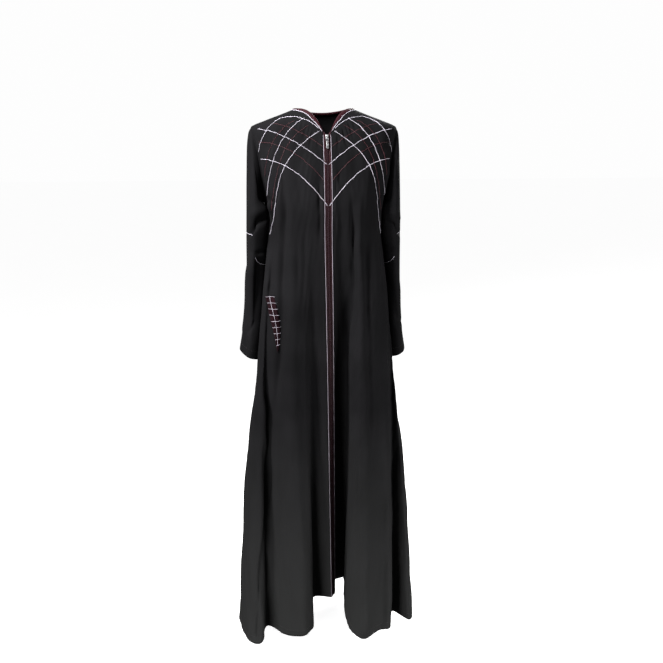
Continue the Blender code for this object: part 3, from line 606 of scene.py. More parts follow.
class Surface:
    """A grid as a surface for placing things on."""

    def __init__(self, grid, across, up, closed=False):
        rows, columns = grid.shape[:2]
        self.points = grid.reshape(-1, 3)
        self.normals = normals_of(grid, closed).reshape(-1, 3)
        self.cloth = np.stack([across, up], axis=-1).reshape(-1, 2)
        index = np.arange(rows * columns).reshape(rows, columns)
        a, b = index[:-1, :-1].ravel(), index[:-1, 1:].ravel()
        c, d = index[1:, 1:].ravel(), index[1:, :-1].ravel()
        self.faces = np.concatenate([np.stack([a, b, c], 1), np.stack([a, c, d], 1)])
        self.tree = BVHTree.FromPolygons(self.points.tolist(), self.faces.tolist())

    def seen(self, x, level, behind=False):
        """Place, outward direction and cloth coordinates at x and level, or None beside the cloth."""
        way = -1 if behind else 1
        hit, _, face, _ = self.tree.ray_cast(Vector((x, -way * FAR, level)), Vector((0, way, 0)))
        return None if hit is None else self.at(hit, face)

    def nearest(self, place):
        hit, _, face, _ = self.tree.find_nearest(Vector(place))
        return self.at(hit, face)

    def at(self, hit, face):
        corners = self.faces[face]
        a, b, c = self.points[corners]
        place = np.array(hit)
        whole = np.linalg.norm(np.cross(b - a, c - a))
        first = np.linalg.norm(np.cross(b - place, c - place)) / whole
        second = np.linalg.norm(np.cross(c - place, a - place)) / whole
        shares = np.array([first, second, max(0.0, 1 - first - second)])
        normal = shares @ self.normals[corners]
        return place, normal / np.linalg.norm(normal), shares @ self.cloth[corners]


def cloth_coordinates(name, grid):
    """Metres across the cloth, from the zip or the left side seam, and metres up from the hem."""
    across = lengths(grid, 1)
    if name == "front_right":
        across = across[:, -1:] - across
    return across, lengths(grid, 0)


# %% [markdown]
# ## Creases
#
# Worn crepe hangs in long soft folds, with sharper wrinkles where it is pulled: at the armholes, at
# the bent elbow and where the yoke is gathered under the neck band. Each crease is one row of a
# table: its depth (a trough is negative), its half width, how much it leans, over which share of
# its length it grows and fades, and the places it passes through. All are in millimetres, as they
# would be chalked on the cloth. The height follows a bell curve across the crease. The lean makes
# one side steeper, and slow waves make no two creases alike.

# %% Add the creases of a table to a grid
CREASE_STEP = 0.004
REACH = 3.2  # half widths from its line at which a crease has faded away
WIDTH_CHANGE, WIDTH_WAVE = 0.15, 0.31
DEPTH_CHANGE, DEPTH_WAVES = 0.16, (0.10, 0.22)
WAVES = 12
random = np.random.default_rng(58)


def eased(value):
    value = np.clip(value, 0.0, 1.0)
    return value * value * (3 - 2 * value)


def crease_heights(across, up, creases, find, round_about=None):
    """Heights of all creases over the plain cloth. On a tube, round_about is each row's girth."""
    height = np.zeros_like(across)
    for depth, half_width, lean, grow, fade, *places in creases:
        depth, half_width = depth / 1000, half_width / 1000
        line = np.array([found for found in (find(*p) for p in places) if found is not None])
        if len(line) < 2:
            print("a crease lies beside the cloth:", places[0])
            continue
        walked = lengths(line, 0)
        count = max(8, int(walked[-1] / CREASE_STEP))
        samples = curve_through(np.column_stack([walked, line]), np.linspace(0, walked[-1], count))
        tangents = np.gradient(samples, axis=0)
        tangents /= np.linalg.norm(tangents, axis=1, keepdims=True)
        reach = REACH * half_width * (1 + abs(lean))
        inside = (up > samples[:, 1].min() - reach) & (up < samples[:, 1].max() + reach)
        if round_about is None:
            inside &= across > samples[:, 0].min() - reach
            inside &= across < samples[:, 0].max() + reach
        apart = np.stack([across[inside], up[inside]], 1)[:, None, :] - samples[None]
        if round_about is not None:
            girth = round_about[inside][:, None]
            apart[..., 0] = (apart[..., 0] + girth / 2) % girth - girth / 2
        nearest = np.argmin((apart**2).sum(2), axis=1)
        apart = apart[np.arange(len(nearest)), nearest]
        tangent = tangents[nearest]
        beside = tangent[:, 0] * apart[:, 1] - tangent[:, 1] * apart[:, 0]
        beyond = (tangent * apart).sum(1)
        along = nearest / (count - 1)
        phase = random.uniform(0, 2 * pi, 2)
        wavelength = random.uniform(*DEPTH_WAVES)
        wave = np.sin(2 * pi * along * walked[-1] / wavelength + phase[0])
        change = WIDTH_CHANGE * np.sin(2 * pi * along * walked[-1] / WIDTH_WAVE + phase[1])
        width = half_width * (1 + change)
        width = width * np.where(beside > 0, 1 + lean, 1 - lean)
        strength = 1 + DEPTH_CHANGE * wave
        strength *= eased(along / grow) if grow else 1.0
        strength *= eased((1 - along) / fade) if fade else 1.0
        strength *= np.exp(-((beyond / width) ** 2))
        height[inside] += depth * strength * np.exp(-((beside / width) ** 2))
    return height


def slow_waves(across, up, amount, widths, heights, seed):
    """Soft unevenness of a hanging cloth: long waves of uneven size, seeded."""
    draw = np.random.default_rng(seed)
    total = np.zeros(np.broadcast_shapes(across.shape, up.shape))
    for _ in range(WAVES):
        width = draw.uniform(*widths) if len(widths) == 2 else draw.choice(widths)
        height = draw.uniform(*heights)
        phase = draw.uniform(0, 2 * pi)
        total += np.sin(2 * pi * (across / width + draw.choice((-1, 1)) * up / height) + phase)
    return amount * total / np.sqrt(WAVES / 2)


# %% [markdown]
# ## The creases of the fronts
#
# On the wearer's right a long soft valley passes the pocket, with a rounded fold beside it. On the
# left two folds run down from the bust with a dark trough between them. Short gathers leave the
# neck band, and slanting wrinkles leave each armhole.

# %% Tables of creases, in millimetres
RIGHT_CREASES = (
    # depth, half width, lean, grow, fade, (x, level) ...
    (-13, 9, 0.2, 0.06, 0.3, (-121, -160), (-113, -232), (-114, -310), (-120, -389), (-124, -494),
     (-125, -601), (-134, -683), (-140, -767), (-152, -883)),
    (6.5, 13, -0.2, 0.2, 0.0, (-93, -180), (-95, -387), (-97, -598), (-97, -874), (-84, -1046),
     (-74, -1224), (-72, -1440)),
    (-3.2, 7, 0.0, 0.3, 0.4, (-58, -230), (-61, -360), (-65, -492), (-65, -620)),
    (-7, 5.5, 0.0, 0.3, 0.4, (-23, -150), (-22, -230), (-20, -361)),
    (-4.5, 3.4, 0.0, 0.4, 0.4, (-16, -160), (-14, -205)),
    (-4.5, 3.4, 0.0, 0.4, 0.4, (-30, -165), (-33, -215)),
    (-4, 3.4, 0.0, 0.4, 0.4, (-27, -215), (-24, -268)),
    (5.2, 10, 0.2, 0.3, 0.3, (-150, -360), (-155, -420), (-158, -480)),
    (7.5, 6, 0.2, 0.25, 0.3, (-181, -662), (-177, -769), (-174, -882), (-166, -971)),
    (-14, 10, -0.3, 0.3, 0.0, (-166, -850), (-163, -900), (-170, -1058), (-185, -1220),
     (-202, -1391), (-206, -1440)),
    (-3.9, 12, 0.1, 0.3, 0.0, (-130, -1000), (-134, -1200), (-135, -1440)),
    (3.9, 10, -0.1, 0.3, 0.0, (-105, -1080), (-107, -1250), (-108, -1440)),
    (-2.6, 8, 0.0, 0.3, 0.3, (-12, -900), (-8, -1120), (-4, -1350)),
    # wrinkles from the armhole
    (-8.2, 4.5, 0.3, 0.15, 0.3, (-177, -106), (-167, -170), (-157, -236), (-148, -331), (-154, -369)),
    (7.2, 5, 0.2, 0.2, 0.3, (-168, -120), (-158, -175), (-148, -238), (-142, -310)),
    (-7.2, 4, 0.2, 0.3, 0.3, (-123, -155), (-131, -220), (-141, -273), (-148, -331)),
    (-5.4, 4, 0.2, 0.1, 0.5, (-170, -188), (-150, -222), (-132, -262), (-121, -300)),
    (4.6, 5, -0.2, 0.1, 0.5, (-168, -202), (-150, -238), (-136, -276)),
    (-5.4, 4, 0.0, 0.2, 0.5, (-160, -252), (-145, -292), (-139, -345), (-141, -400)),
    (-4.6, 5, 0.0, 0.1, 0.6, (-178, -80), (-150, -100), (-122, -128)),
    # the waist, where the sleeve rests against the skirt
    (-4.5, 6, 0.2, 0.3, 0.4, (-152, -400), (-148, -470), (-150, -545)),
    (-3.8, 5, 0.0, 0.3, 0.4, (-86, -330), (-80, -400), (-82, -470)),
    (-3, 5, 0.2, 0.4, 0.4, (-40, -420), (-36, -520), (-40, -640)),
    # gathers under the neck band
    (-5, 3.5, 0.0, 0.3, 0.55, (-68, -22), (-76, -40), (-84, -66)),
    (-4.6, 3.2, 0.0, 0.3, 0.55, (-60, -30), (-66, -48), (-73, -72)),
    (-5.5, 3.5, 0.0, 0.3, 0.55, (-52, -38), (-57, -58), (-62, -84)),
    (-3.6, 3, 0.0, 0.3, 0.55, (-45, -46), (-48, -62), (-52, -80)),
    (-5, 3.4, 0.0, 0.3, 0.55, (-38, -54), (-41, -74), (-44, -102)),
    (-4.2, 3, 0.0, 0.3, 0.55, (-30, -60), (-32, -78), (-34, -98)),
    (-3.4, 3, 0.0, 0.3, 0.55, (-23, -68), (-24, -86), (-24, -108)),
    (-3.2, 3, 0.0, 0.3, 0.55, (-76, -16), (-88, -30), (-99, -48)),
)
LEFT_CREASES = (
    (-2.6, 8, 0.0, 0.3, 0.4, (33, -193), (34, -389), (35, -550)),
    (-9, 10, -0.2, 0.2, 0.3, (67, -206), (68, -310), (64, -496), (56, -581), (50, -700)),
    (6.5, 9, 0.2, 0.15, 0.0, (83, -194), (84, -389), (86, -602), (85, -879), (90, -1200), (97, -1440)),
    (-9, 10, -0.2, 0.2, 0.4, (107, -250), (107, -338), (108, -496), (114, -658), (118, -880), (128, -1100)),
    (4.5, 5, 0.0, 0.3, 0.0, (191, -821), (192, -909), (199, -1150), (200, -1430)),
    (-6.5, 9, 0.2, 0.3, 0.0, (152, -930), (158, -1100), (163, -1280), (164, -1430)),
    (3.9, 10, 0.0, 0.3, 0.0, (135, -1000), (138, -1200), (142, -1430)),
    (-5.2, 9, 0.2, 0.3, 0.4, (150, -560), (158, -700), (170, -860)),
    (-3.2, 8, 0.0, 0.3, 0.0, (112, -1150), (116, -1300), (118, -1440)),
    (-4, 3.4, 0.0, 0.4, 0.4, (20, -172), (19, -228)),
    (-4, 3.4, 0.0, 0.4, 0.4, (28, -150), (30, -198)),
    (-2.4, 4, 0.0, 0.4, 0.4, (17, -262), (20, -330)),
    # wrinkles from the armhole
    (-7.2, 4.5, 0.3, 0.15, 0.3, (176, -112), (165, -180), (156, -246), (150, -300)),
    (6.2, 5, 0.2, 0.2, 0.3, (167, -128), (156, -190), (147, -250), (143, -285)),
    (-6.2, 4, 0.2, 0.3, 0.3, (120, -150), (127, -212), (136, -262), (141, -295)),
    (-5.8, 4, 0.2, 0.1, 0.5, (169, -178), (151, -214), (135, -252), (126, -292)),
    (-4, 5, 0.0, 0.4, 0.5, (139, -345), (141, -380), (144, -420)),
    (-4, 5, 0.0, 0.1, 0.6, (178, -86), (152, -104), (126, -136)),
    (-5.4, 6, 0.2, 0.3, 0.4, (150, -410), (146, -480), (150, -560)),
    # gathers under the neck band
    (-4.6, 3.4, 0.0, 0.3, 0.55, (66, -24), (73, -42), (80, -68)),
    (-5.3, 3.4, 0.0, 0.3, 0.55, (58, -32), (63, -52), (70, -80)),
    (-3.9, 3, 0.0, 0.3, 0.55, (50, -40), (54, -56), (58, -76)),
    (-5, 3.4, 0.0, 0.3, 0.55, (42, -50), (45, -70), (49, -98)),
    (-3.9, 3, 0.0, 0.3, 0.55, (34, -57), (36, -74), (38, -94)),
    (-4.3, 3.2, 0.0, 0.3, 0.55, (27, -64), (28, -84), (29, -110)),
    (-3.2, 3, 0.0, 0.3, 0.55, (74, -17), (85, -30), (97, -50)),
)
BACK_CREASES = (
    (-8, 12, 0.2, 0.2, 0.4, (58, -250), (62, -420), (66, -620), (70, -820)),
    (6, 11, -0.2, 0.2, 0.0, (88, -300), (96, -600), (108, -900), (122, -1200), (132, -1440)),
    (-6, 10, 0.0, 0.25, 0.4, (-52, -280), (-56, -460), (-62, -660), (-60, -860)),
    (5, 11, 0.2, 0.2, 0.0, (-86, -320), (-94, -640), (-104, -940), (-116, -1220), (-124, -1440)),
    (-4, 9, 0.0, 0.3, 0.0, (8, -620), (4, -860), (-4, -1120), (-8, -1440)),
    (3, 9, 0.0, 0.3, 0.3, (24, -420), (26, -700), (30, -960)),
    (-5, 9, 0.2, 0.3, 0.0, (150, -760), (160, -980), (168, -1220), (172, -1440)),
    (-5, 9, -0.2, 0.3, 0.0, (-152, -820), (-160, -1040), (-170, -1260), (-174, -1440)),
    (4, 7, 0.0, 0.3, 0.3, (-186, -840), (-190, -980), (-194, -1120)),
    (-3, 6, 0.0, 0.3, 0.4, (122, -360), (130, -470), (138, -600)),
    (-3, 6, 0.0, 0.3, 0.4, (-120, -350), (-126, -450), (-136, -590)),
    # across the shoulder blades and at the armholes
    (-3.5, 5, 0.2, 0.1, 0.5, (172, -150), (150, -186), (128, -228), (116, -280)),
    (-3, 5, 0.2, 0.15, 0.5, (166, -196), (148, -230), (132, -270), (124, -318)),
    (2.5, 6, 0.0, 0.2, 0.5, (168, -176), (146, -212), (126, -258)),
    (-3.5, 5, 0.2, 0.1, 0.5, (-172, -156), (-150, -190), (-130, -232), (-118, -286)),
    (-2.8, 5, 0.2, 0.15, 0.5, (-166, -204), (-148, -238), (-134, -280), (-126, -330)),
    (-3, 4, 0.0, 0.2, 0.4, (158, -262), (150, -310), (148, -372)),
    (-3, 4, 0.0, 0.2, 0.4, (-158, -268), (-150, -318), (-148, -380)),
    (-2, 5, 0.0, 0.3, 0.5, (30, -40), (38, -80), (44, -130)),
    (-2, 5, 0.0, 0.3, 0.5, (-26, -40), (-34, -84), (-40, -140)),
    (-1.6, 6, 0.0, 0.4, 0.4, (90, -80), (60, -104), (26, -112)),
    (-2.2, 6, 0.0, 0.3, 0.4, (-12, -200), (-16, -300), (-14, -400)),
    (-2, 6, 0.0, 0.3, 0.4, (20, -180), (24, -270), (22, -360)),
)
print(len(RIGHT_CREASES), len(LEFT_CREASES), len(BACK_CREASES), "creases")


# %% Crease the body panels
SEAM_FADE = 0.010
NECK_FADE = 0.004
SEAM_ROLL = (0.0006, 0.004)  # depth and reach of the roll along a seam
CALM = (0.02, 0.12)  # the waves end this far below the top edge, over this distance
# amount, then the least and the most width and height of the waves
HANGING_WAVES = (0.0011, (0.045, 0.14), (0.5, 1.4))
FINE_WAVES = (0.00022, (0.012, 0.03), (0.06, 0.2))


def edge_distances(grid):
    """Metres from the nearest side edge, and from the top edge."""
    across = lengths(grid, 1)
    sides = np.minimum(across, across[:, -1:] - across)
    up = lengths(grid, 0)
    return sides, up[-1:] - up


def softened(height):
    """Heights averaged with their neighbours, so that crossing creases make no sharp points."""
    for _ in range(2):
        inner = height.copy()
        inner[1:-1] = (height[:-2] + 2 * height[1:-1] + height[2:]) / 4
        height = inner.copy()
        height[:, 1:-1] = (inner[:, :-2] + 2 * inner[:, 1:-1] + inner[:, 2:]) / 4
    return height


def creased(name, grid, creases, seed):
    """The grid with its creases, slow waves and puckers, and its seams rolled in."""
    across, up = cloth_coordinates(name, grid)
    surface = Surface(grid, across, up)
    behind = name == "back"

    def find(x, level):
        found = surface.seen(x / 1000, level / 1000, behind)
        return None if found is None else found[2]

    height = softened(crease_heights(across, up, creases, find))
    calm = eased((up[-1:] - up - CALM[0]) / CALM[1])
    height += slow_waves(across, up, *HANGING_WAVES, seed) * calm
    height += slow_waves(across, up, *FINE_WAVES, seed + 1) * calm
    sides, top = edge_distances(grid)
    height *= eased(sides / SEAM_FADE) * eased(top / NECK_FADE)
    seam = sides if behind else across.max(axis=1, keepdims=True) - across
    height -= SEAM_ROLL[0] * np.exp(-((seam / SEAM_ROLL[1]) ** 2))
    print(name, "creased from", round(height.min() * 1000, 1), "to", round(height.max() * 1000, 1), "mm")
    return grid + normals_of(grid) * height[..., None]


cloth = {
    "front_right": creased("front_right", plain["front_right"], RIGHT_CREASES, 11),
    "front_left": creased("front_left", plain["front_left"], LEFT_CREASES, 23),
    "back": creased("back", plain["back"], BACK_CREASES, 37),
}

# %% [markdown]
# ## From grid to cloth
#
# A face joins each four neighbouring points of the grid. Solidify then gives the sheet the
# thickness of the crepe, inwards, and closes its edges, so the result is a thin wall and not a
# surface without a back.

# %% Make a sheet from a grid
CREPE_THICK = 0.0010


def sheet_mesh(name, grid, across, up, material, thick, closed=False):
    """A sheet of cloth on a grid of its outer skin, with its cloth coordinates as the UV map."""
    rows, columns = grid.shape[:2]
    index = np.arange(rows * columns).reshape(rows, columns)
    if closed:
        index = np.concatenate([index, index[:, :1]], axis=1)
    faces = np.stack([index[:-1, :-1], index[:-1, 1:], index[1:, 1:], index[1:, :-1]], axis=-1)
    mesh = bpy.data.meshes.new(name)
    mesh.from_pydata(grid.reshape(-1, 3).tolist(), [], faces.reshape(-1, 4).tolist())
    flat = np.stack([across, up], axis=-1)
    corners = np.stack([flat[:-1, :-1], flat[:-1, 1:], flat[1:, 1:], flat[1:, :-1]], axis=2)
    mesh.uv_layers.new(name="UVMap").data.foreach_set("uv", corners.ravel())
    mesh.materials.append(material)
    thing = bpy.data.objects.new(name, mesh)
    bpy.context.scene.collection.objects.link(thing)
    if thick:
        give_thickness(thing, thick)
    thing.data.shade_smooth()
    return thing


def make_active(thing):
    bpy.ops.object.select_all(action="DESELECT")
    bpy.context.view_layer.objects.active = thing
    thing.select_set(True)


def apply_modifier(thing, modifier):
    make_active(thing)
    bpy.ops.object.modifier_apply(modifier=modifier.name)
    thing.select_set(False)


def give_thickness(thing, thick):
    wall = thing.modifiers.new("Thickness", "SOLIDIFY")
    wall.thickness, wall.offset = thick, -1
    apply_modifier(thing, wall)


def join_as(name, things):
    make_active(things[0])
    for thing in things:
        thing.select_set(True)
    bpy.ops.object.join()
    things[0].name = name
    return things[0]


def stands_for(thing, slot, *nodes, body="garment"):
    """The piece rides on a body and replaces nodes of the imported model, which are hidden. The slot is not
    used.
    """
    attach(thing, body)
    if nodes:
        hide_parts(*nodes)


def report_sheet(thing):
    area = sum(face.area for face in thing.data.polygons) / 2
    print(thing.name, len(thing.data.polygons), "faces,", round(area, 3), "m2")


panels, surfaces = {}, {}
for name, grid in cloth.items():
    across, up = cloth_coordinates(name, plain[name])
    panels[name] = sheet_mesh(name + "_crepe", grid, across, up, crepe, CREPE_THICK)
    surfaces[name] = Surface(grid, across, up)
    stands_for(panels[name], "black_crepe", name)
    report_sheet(panels[name])

# %% [markdown]
# ## Sleeves
#
# A set-in sleeve is a tube that starts at the armhole and hangs beside the body. Here it is a row
# of rings: the first is the armhole itself, and the last is the open cuff. Its creases are placed
# by the turn round the sleeve (0 is the outer side, 90 the front) and the level.

# %% Rings of the sleeves
SLEEVE_COLUMNS = 72
SLEEVE_ROWS = 150
SLEEVE_GAP = 0.0004


def sleeve_grid(side):
    """A grid of the sleeve from the cuff up, and the turn of each of its columns."""
    turn = np.arange(SLEEVE_COLUMNS) / SLEEVE_COLUMNS
    behind = turn > 0.5
    up = np.where(behind, 2 * turn - 1, 1 - 2 * turn)
    rings = [armhole_point(side, behind, up) + np.array([side * SLEEVE_GAP, 0, 0])]
    angle = 2 * pi * turn
    along = np.sign(np.cos(angle)) * np.abs(np.cos(angle)) ** (2 / SLEEVE_ROUNDNESS)
    forward = np.sign(np.sin(angle)) * np.abs(np.sin(angle)) ** (2 / SLEEVE_ROUNDNESS)
    for outer_x, outer_level, inner_x, inner_level, front, back in SLEEVE_RINGS:
        x = side * ((outer_x + inner_x) / 2 + (outer_x - inner_x) / 2 * along)
        level = (outer_level + inner_level) / 2 + (outer_level - inner_level) / 2 * along
        rings.append(stacked(x, (front + back) / 2 + (front - back) / 2 * forward, level))
    rings = np.array(rings).reshape(len(rings), -1)
    table = np.column_stack([np.arange(len(rings)), rings])
    places = np.linspace(len(rings) - 1, 0, SLEEVE_ROWS + 1)
    grid = curve_through(table, places).reshape(len(places), SLEEVE_COLUMNS, 3)
    turns = turn * 360
    if side > 0:
        order = np.concatenate([[0], np.arange(SLEEVE_COLUMNS - 1, 0, -1)])
        grid, turns = grid[:, order], turns[order]
    return grid, turns


def tube_coordinates(grid):
    """Metres round the tube from its first column, metres up from its open end, and its girth."""
    whole = np.concatenate([grid, grid[:, :1]], axis=1)
    round_it = lengths(whole, 1)
    up = lengths(grid, 0)
    return round_it, np.concatenate([up, up[:, :1]], axis=1)


# %% Creases of the sleeves
SLEEVE_CALM = (0.01, 0.05)
SLEEVE_WAVES = (0.0009, (1 / 2, 1 / 3, 1 / 4, 1 / 5), (0.25, 0.6))
SLEEVE_CREASES = {
    -1: (
        # depth, half width, lean, grow, fade, (turn in degrees, level) ...
        (-12, 6.5, -0.3, 0.25, 0.4, (140, -276), (112, -290), (80, -310), (52, -328), (22, -338)),
        (6, 12, 0.2, 0.3, 0.4, (150, -262), (112, -262), (75, -272), (30, -292)),
        (-4, 6, 0.0, 0.2, 0.4, (60, -100), (84, -150), (104, -206), (112, -248)),
        (-4.5, 5, 0.2, 0.2, 0.4, (168, -352), (120, -374), (70, -384)),
        (-4, 5, 0.2, 0.2, 0.4, (176, -396), (128, -402), (86, -396)),
        (3.5, 7, 0.0, 0.3, 0.4, (160, -372), (120, -388), (80, -392)),
        (-3, 6, 0.0, 0.3, 0.4, (30, -356), (55, -372), (80, -370)),
        (-13, 17, 0.0, 0.2, 0.3, (122, -370), (120, -450), (116, -540), (110, -630)),
        (8, 13, 0.0, 0.25, 0.2, (50, -370), (44, -450), (42, -540), (42, -640)),
        (-3.5, 7, 0.1, 0.3, 0.4, (20, -110), (8, -180), (-6, -260)),
        (-3.5, 6, 0.2, 0.2, 0.5, (-150, -300), (-110, -330), (-70, -352)),
        (-3.5, 6, 0.2, 0.2, 0.5, (-160, -380), (-120, -396), (-70, -412)),
        (-3, 7, 0.0, 0.3, 0.4, (-60, -120), (-78, -190), (-96, -250)),
        (3, 9, 0.0, 0.3, 0.3, (-50, -440), (-58, -540), (-60, -640)),
        (-3, 8, 0.0, 0.3, 0.2, (-88, -450), (-92, -550), (-88, -650)),
        (-2.5, 5, 0.0, 0.3, 0.4, (110, -560), (70, -590), (40, -600)),
    ),
    1: (
        (-8, 6.5, -0.3, 0.25, 0.4, (136, -282), (108, -298), (76, -314), (48, -326), (18, -330)),
        (5, 12, 0.2, 0.3, 0.4, (148, -266), (108, -270), (70, -280), (28, -296)),
        (-4, 6, 0.0, 0.2, 0.4, (56, -110), (80, -162), (100, -216), (110, -256)),
        (-4, 5, 0.2, 0.2, 0.4, (170, -346), (122, -366), (74, -380)),
        (-4.5, 5, 0.2, 0.2, 0.4, (172, -400), (126, -412), (82, -408)),
        (3, 7, 0.0, 0.3, 0.4, (158, -376), (118, -390), (78, -394)),
        (-3, 8, 0.0, 0.3, 0.3, (98, -450), (88, -530), (78, -620)),
        (3, 9, 0.0, 0.3, 0.3, (60, -436), (52, -530), (48, -636)),
        (-3, 7, 0.1, 0.3, 0.4, (16, -120), (4, -190), (-8, -270)),
        (-3.5, 6, 0.2, 0.2, 0.5, (-146, -308), (-108, -336), (-66, -354)),
        (-3, 6, 0.2, 0.2, 0.5, (-158, -388), (-118, -402), (-72, -420)),
        (-3, 7, 0.0, 0.3, 0.4, (-56, -130), (-76, -200), (-92, -256)),
        (-3, 8, 0.0, 0.3, 0.2, (-84, -460), (-90, -556), (-86, -654)),
        (-2.5, 5, 0.0, 0.3, 0.4, (100, -548), (66, -570), (36, -586)),
    ),
}


def creased_sleeve(side):
    """The sleeve's creased grid with its cloth coordinates."""
    grid, turns = sleeve_grid(side)
    round_it, up = tube_coordinates(grid)
    across, height_up = round_it[:, :-1], up[:, :-1]
    girth = np.broadcast_to(round_it[:, -1:], across.shape)

    def find(turn, level):
        column = int(np.argmin(np.abs((turns - turn + 180) % 360 - 180)))
        row = int(np.argmin(np.abs(grid[:, column, 2] - level / 1000)))
        return np.array([across[row, column], height_up[row, column]])

    def unrolled(*places):
        """Each place's distance round the sleeve goes on from the last one, past the first column."""
        found = [find(*place) for place in places]
        for k in range(1, len(found)):
            while found[k][0] - found[k - 1][0] > girth[0, 0] / 2:
                found[k][0] -= girth[0, 0]
            while found[k - 1][0] - found[k][0] > girth[0, 0] / 2:
                found[k][0] += girth[0, 0]
        return found

    height = np.zeros_like(across)
    for row in SLEEVE_CREASES[side]:
        height += crease_heights(
            across, height_up, [(*row[:5], *[(p,) for p in unrolled(*row[5:])])], lambda p: p, girth
        )
    calm = eased((height_up[-1:] - height_up - SLEEVE_CALM[0]) / SLEEVE_CALM[1])
    height += slow_waves(turns[None, :] / 360, height_up, *SLEEVE_WAVES, 71 + side)
    height *= calm
    height -= SEAM_ROLL[0] * np.exp(-(((height_up[-1:] - height_up) / SEAM_ROLL[1]) ** 2))
    return grid + normals_of(grid, closed=True) * height[..., None], round_it, up


# %% Rest the sleeves against the body
RESTING = (-0.242, -0.248, -0.690, -0.740)  # levels where it starts, is full, is full no more, stops
RESTING_GAP = 0.0030
RESTING_MOST = 0.026
RESTING_TURNS = (100.0, 128.0, 232.0, 262.0)  # the same for the turn round the sleeve
RESTING_SIGHT = 0.06  # how far off the cloth is still looked for
RESTING_PASSES = 6


def window(value, start, full, end, stop):
    """1 between full and end, and eased to 0 at start and stop."""
    return eased((value - start) / (full - start)) * eased((value - stop) / (end - stop))


def rested(grid, side):
    """The sleeve with its inner side moved up to the body's cloth, as an arm holds it there."""
    turns = sleeve_grid(side)[1]
    share = window(turns, *RESTING_TURNS)[None, :] * window(grid[..., 2], *RESTING)
    shift = np.zeros(grid.shape[:2])
    for row, column in np.argwhere(share > 0.01):
        place = Vector(grid[row, column])
        gaps = [
            surface.tree.ray_cast(place, Vector((-side, 0, 0)), RESTING_SIGHT)[3]
            for surface in surfaces.values()
        ]
        gaps = [gap for gap in gaps if gap is not None]
        if gaps:
            shift[row, column] = min(RESTING_MOST, max(0.0, min(gaps) - RESTING_GAP)) * share[row, column]
    for _ in range(RESTING_PASSES):
        shift[1:-1] = (shift[:-2] + 2 * shift[1:-1] + shift[2:]) / 4
        shift = (np.roll(shift, 1, axis=1) + 2 * shift + np.roll(shift, -1, axis=1)) / 4
    moved = grid.copy()
    moved[..., 0] -= side * shift
    print("the sleeve leans in by up to", round(shift.max() * 1000, 1), "mm")
    return moved


SIDE_NAMES = {-1: "right", 1: "left"}
sleeves = {}
for side in SIDE_NAMES:
    name = "sleeve_" + SIDE_NAMES[side]
    grid, round_it, up = creased_sleeve(side)
    grid = rested(grid, side)
    sleeves[side] = (grid, round_it, up)
    panels[name] = sheet_mesh(name + "_crepe", grid, round_it, up, crepe, CREPE_THICK, closed=True)
    stands_for(panels[name], "black_crepe", name)
    report_sheet(panels[name])

# %% [markdown]
# ## Cords that follow the cloth
#
# Piping is a thin cord in a bias strip, sewn into a seam or onto the cloth, so only its upper half
# stands up. A cord here is a half-round section carried along a path of places, each with the
# direction out of the cloth, that are found on the creased sheets. Where one piping crosses another
# it climbs over it in a small hump, as the real one does.

# %% Sweep a half-round section along a path
SECTION_TURNS = np.radians((0, 26, 52, 90, 128, 154, 180))
SUNK = 0.0004  # of a cord's foot, into the cloth
FOOT_SHARE = 0.7  # of a cord's width
END_SIZES = (0.45, 0.86)  # of the last two sections at each end


def at_places(wanted, known, rows):
    """Rows of values known at some places, worked out at others between them."""
    return np.column_stack([np.interp(wanted, known, rows[:, k]) for k in range(rows.shape[1])])


def evenly(places, step):
    """Places resampled at an even step along their line."""
    walked = lengths(places, 0)
    count = max(4, int(round(walked[-1] / step)) + 1)
    return at_places(np.linspace(0, walked[-1], count), walked, places)


def smoothed(values, times=1):
    """A line of values, each averaged with its neighbours, with its two ends kept."""
    for _ in range(times):
        inner = (values[:-2] + 2 * values[1:-1] + values[2:]) / 4
        values = np.concatenate([values[:1], inner, values[-1:]])
    return values


def unit(vectors):
    return vectors / np.maximum(np.linalg.norm(vectors, axis=-1, keepdims=True), 1e-12)


def new_object(name, points, faces, material, flat=None):
    """An object from points and faces, smooth, with a UV pair for each point where they are given."""
    mesh = bpy.data.meshes.new(name)
    mesh.from_pydata(points.tolist(), [], [list(map(int, face)) for face in faces])
    if flat is not None:
        corner_points = np.empty(len(mesh.loops), np.int32)
        mesh.loops.foreach_get("vertex_index", corner_points)
        mesh.uv_layers.new(name="UVMap").data.foreach_set("uv", flat[corner_points].astype(float).ravel())
    mesh.materials.append(material)
    thing = bpy.data.objects.new(name, mesh)
    bpy.context.scene.collection.objects.link(thing)
    mesh.shade_smooth()
    return thing


def cord_mesh(name, places, normals, width, height, material):
    """A half-round cord along places on the cloth, rounded off at both ends."""
    count = len(places)
    tangents = unit(np.gradient(places, axis=0))
    across = unit(np.cross(tangents, normals))
    size = np.ones(count)
    size[[0, -1]], size[[1, -2]] = END_SIZES
    section = [(cos(a) * width / 2, sin(a) * height) for a in SECTION_TURNS]
    section += [(-width / 2 * FOOT_SHARE, -SUNK), (width / 2 * FOOT_SHARE, -SUNK)]
    ring = np.array(section)
    rings = places[:, None] + across[:, None] * (ring[None, :, :1] * size[:, None, None])
    rings = rings + normals[:, None] * (ring[None, :, 1:] * size[:, None, None])
    sides = len(section)
    index = np.arange(count * sides).reshape(count, sides)
    after = np.roll(index, -1, axis=1)
    faces = np.stack([index[:-1], index[1:], after[1:], after[:-1]], axis=-1).reshape(-1, 4).tolist()
    faces += [index[0].tolist(), index[-1][::-1].tolist()]
    round_it = np.concatenate([[0], np.cumsum(np.linalg.norm(np.diff(ring, axis=0), axis=1))])
    flat = stacked(round_it[None, :], lengths(places, 0)[:, None]).reshape(-1, 2)
    return new_object(name, rings.reshape(-1, 3), faces, material, flat)


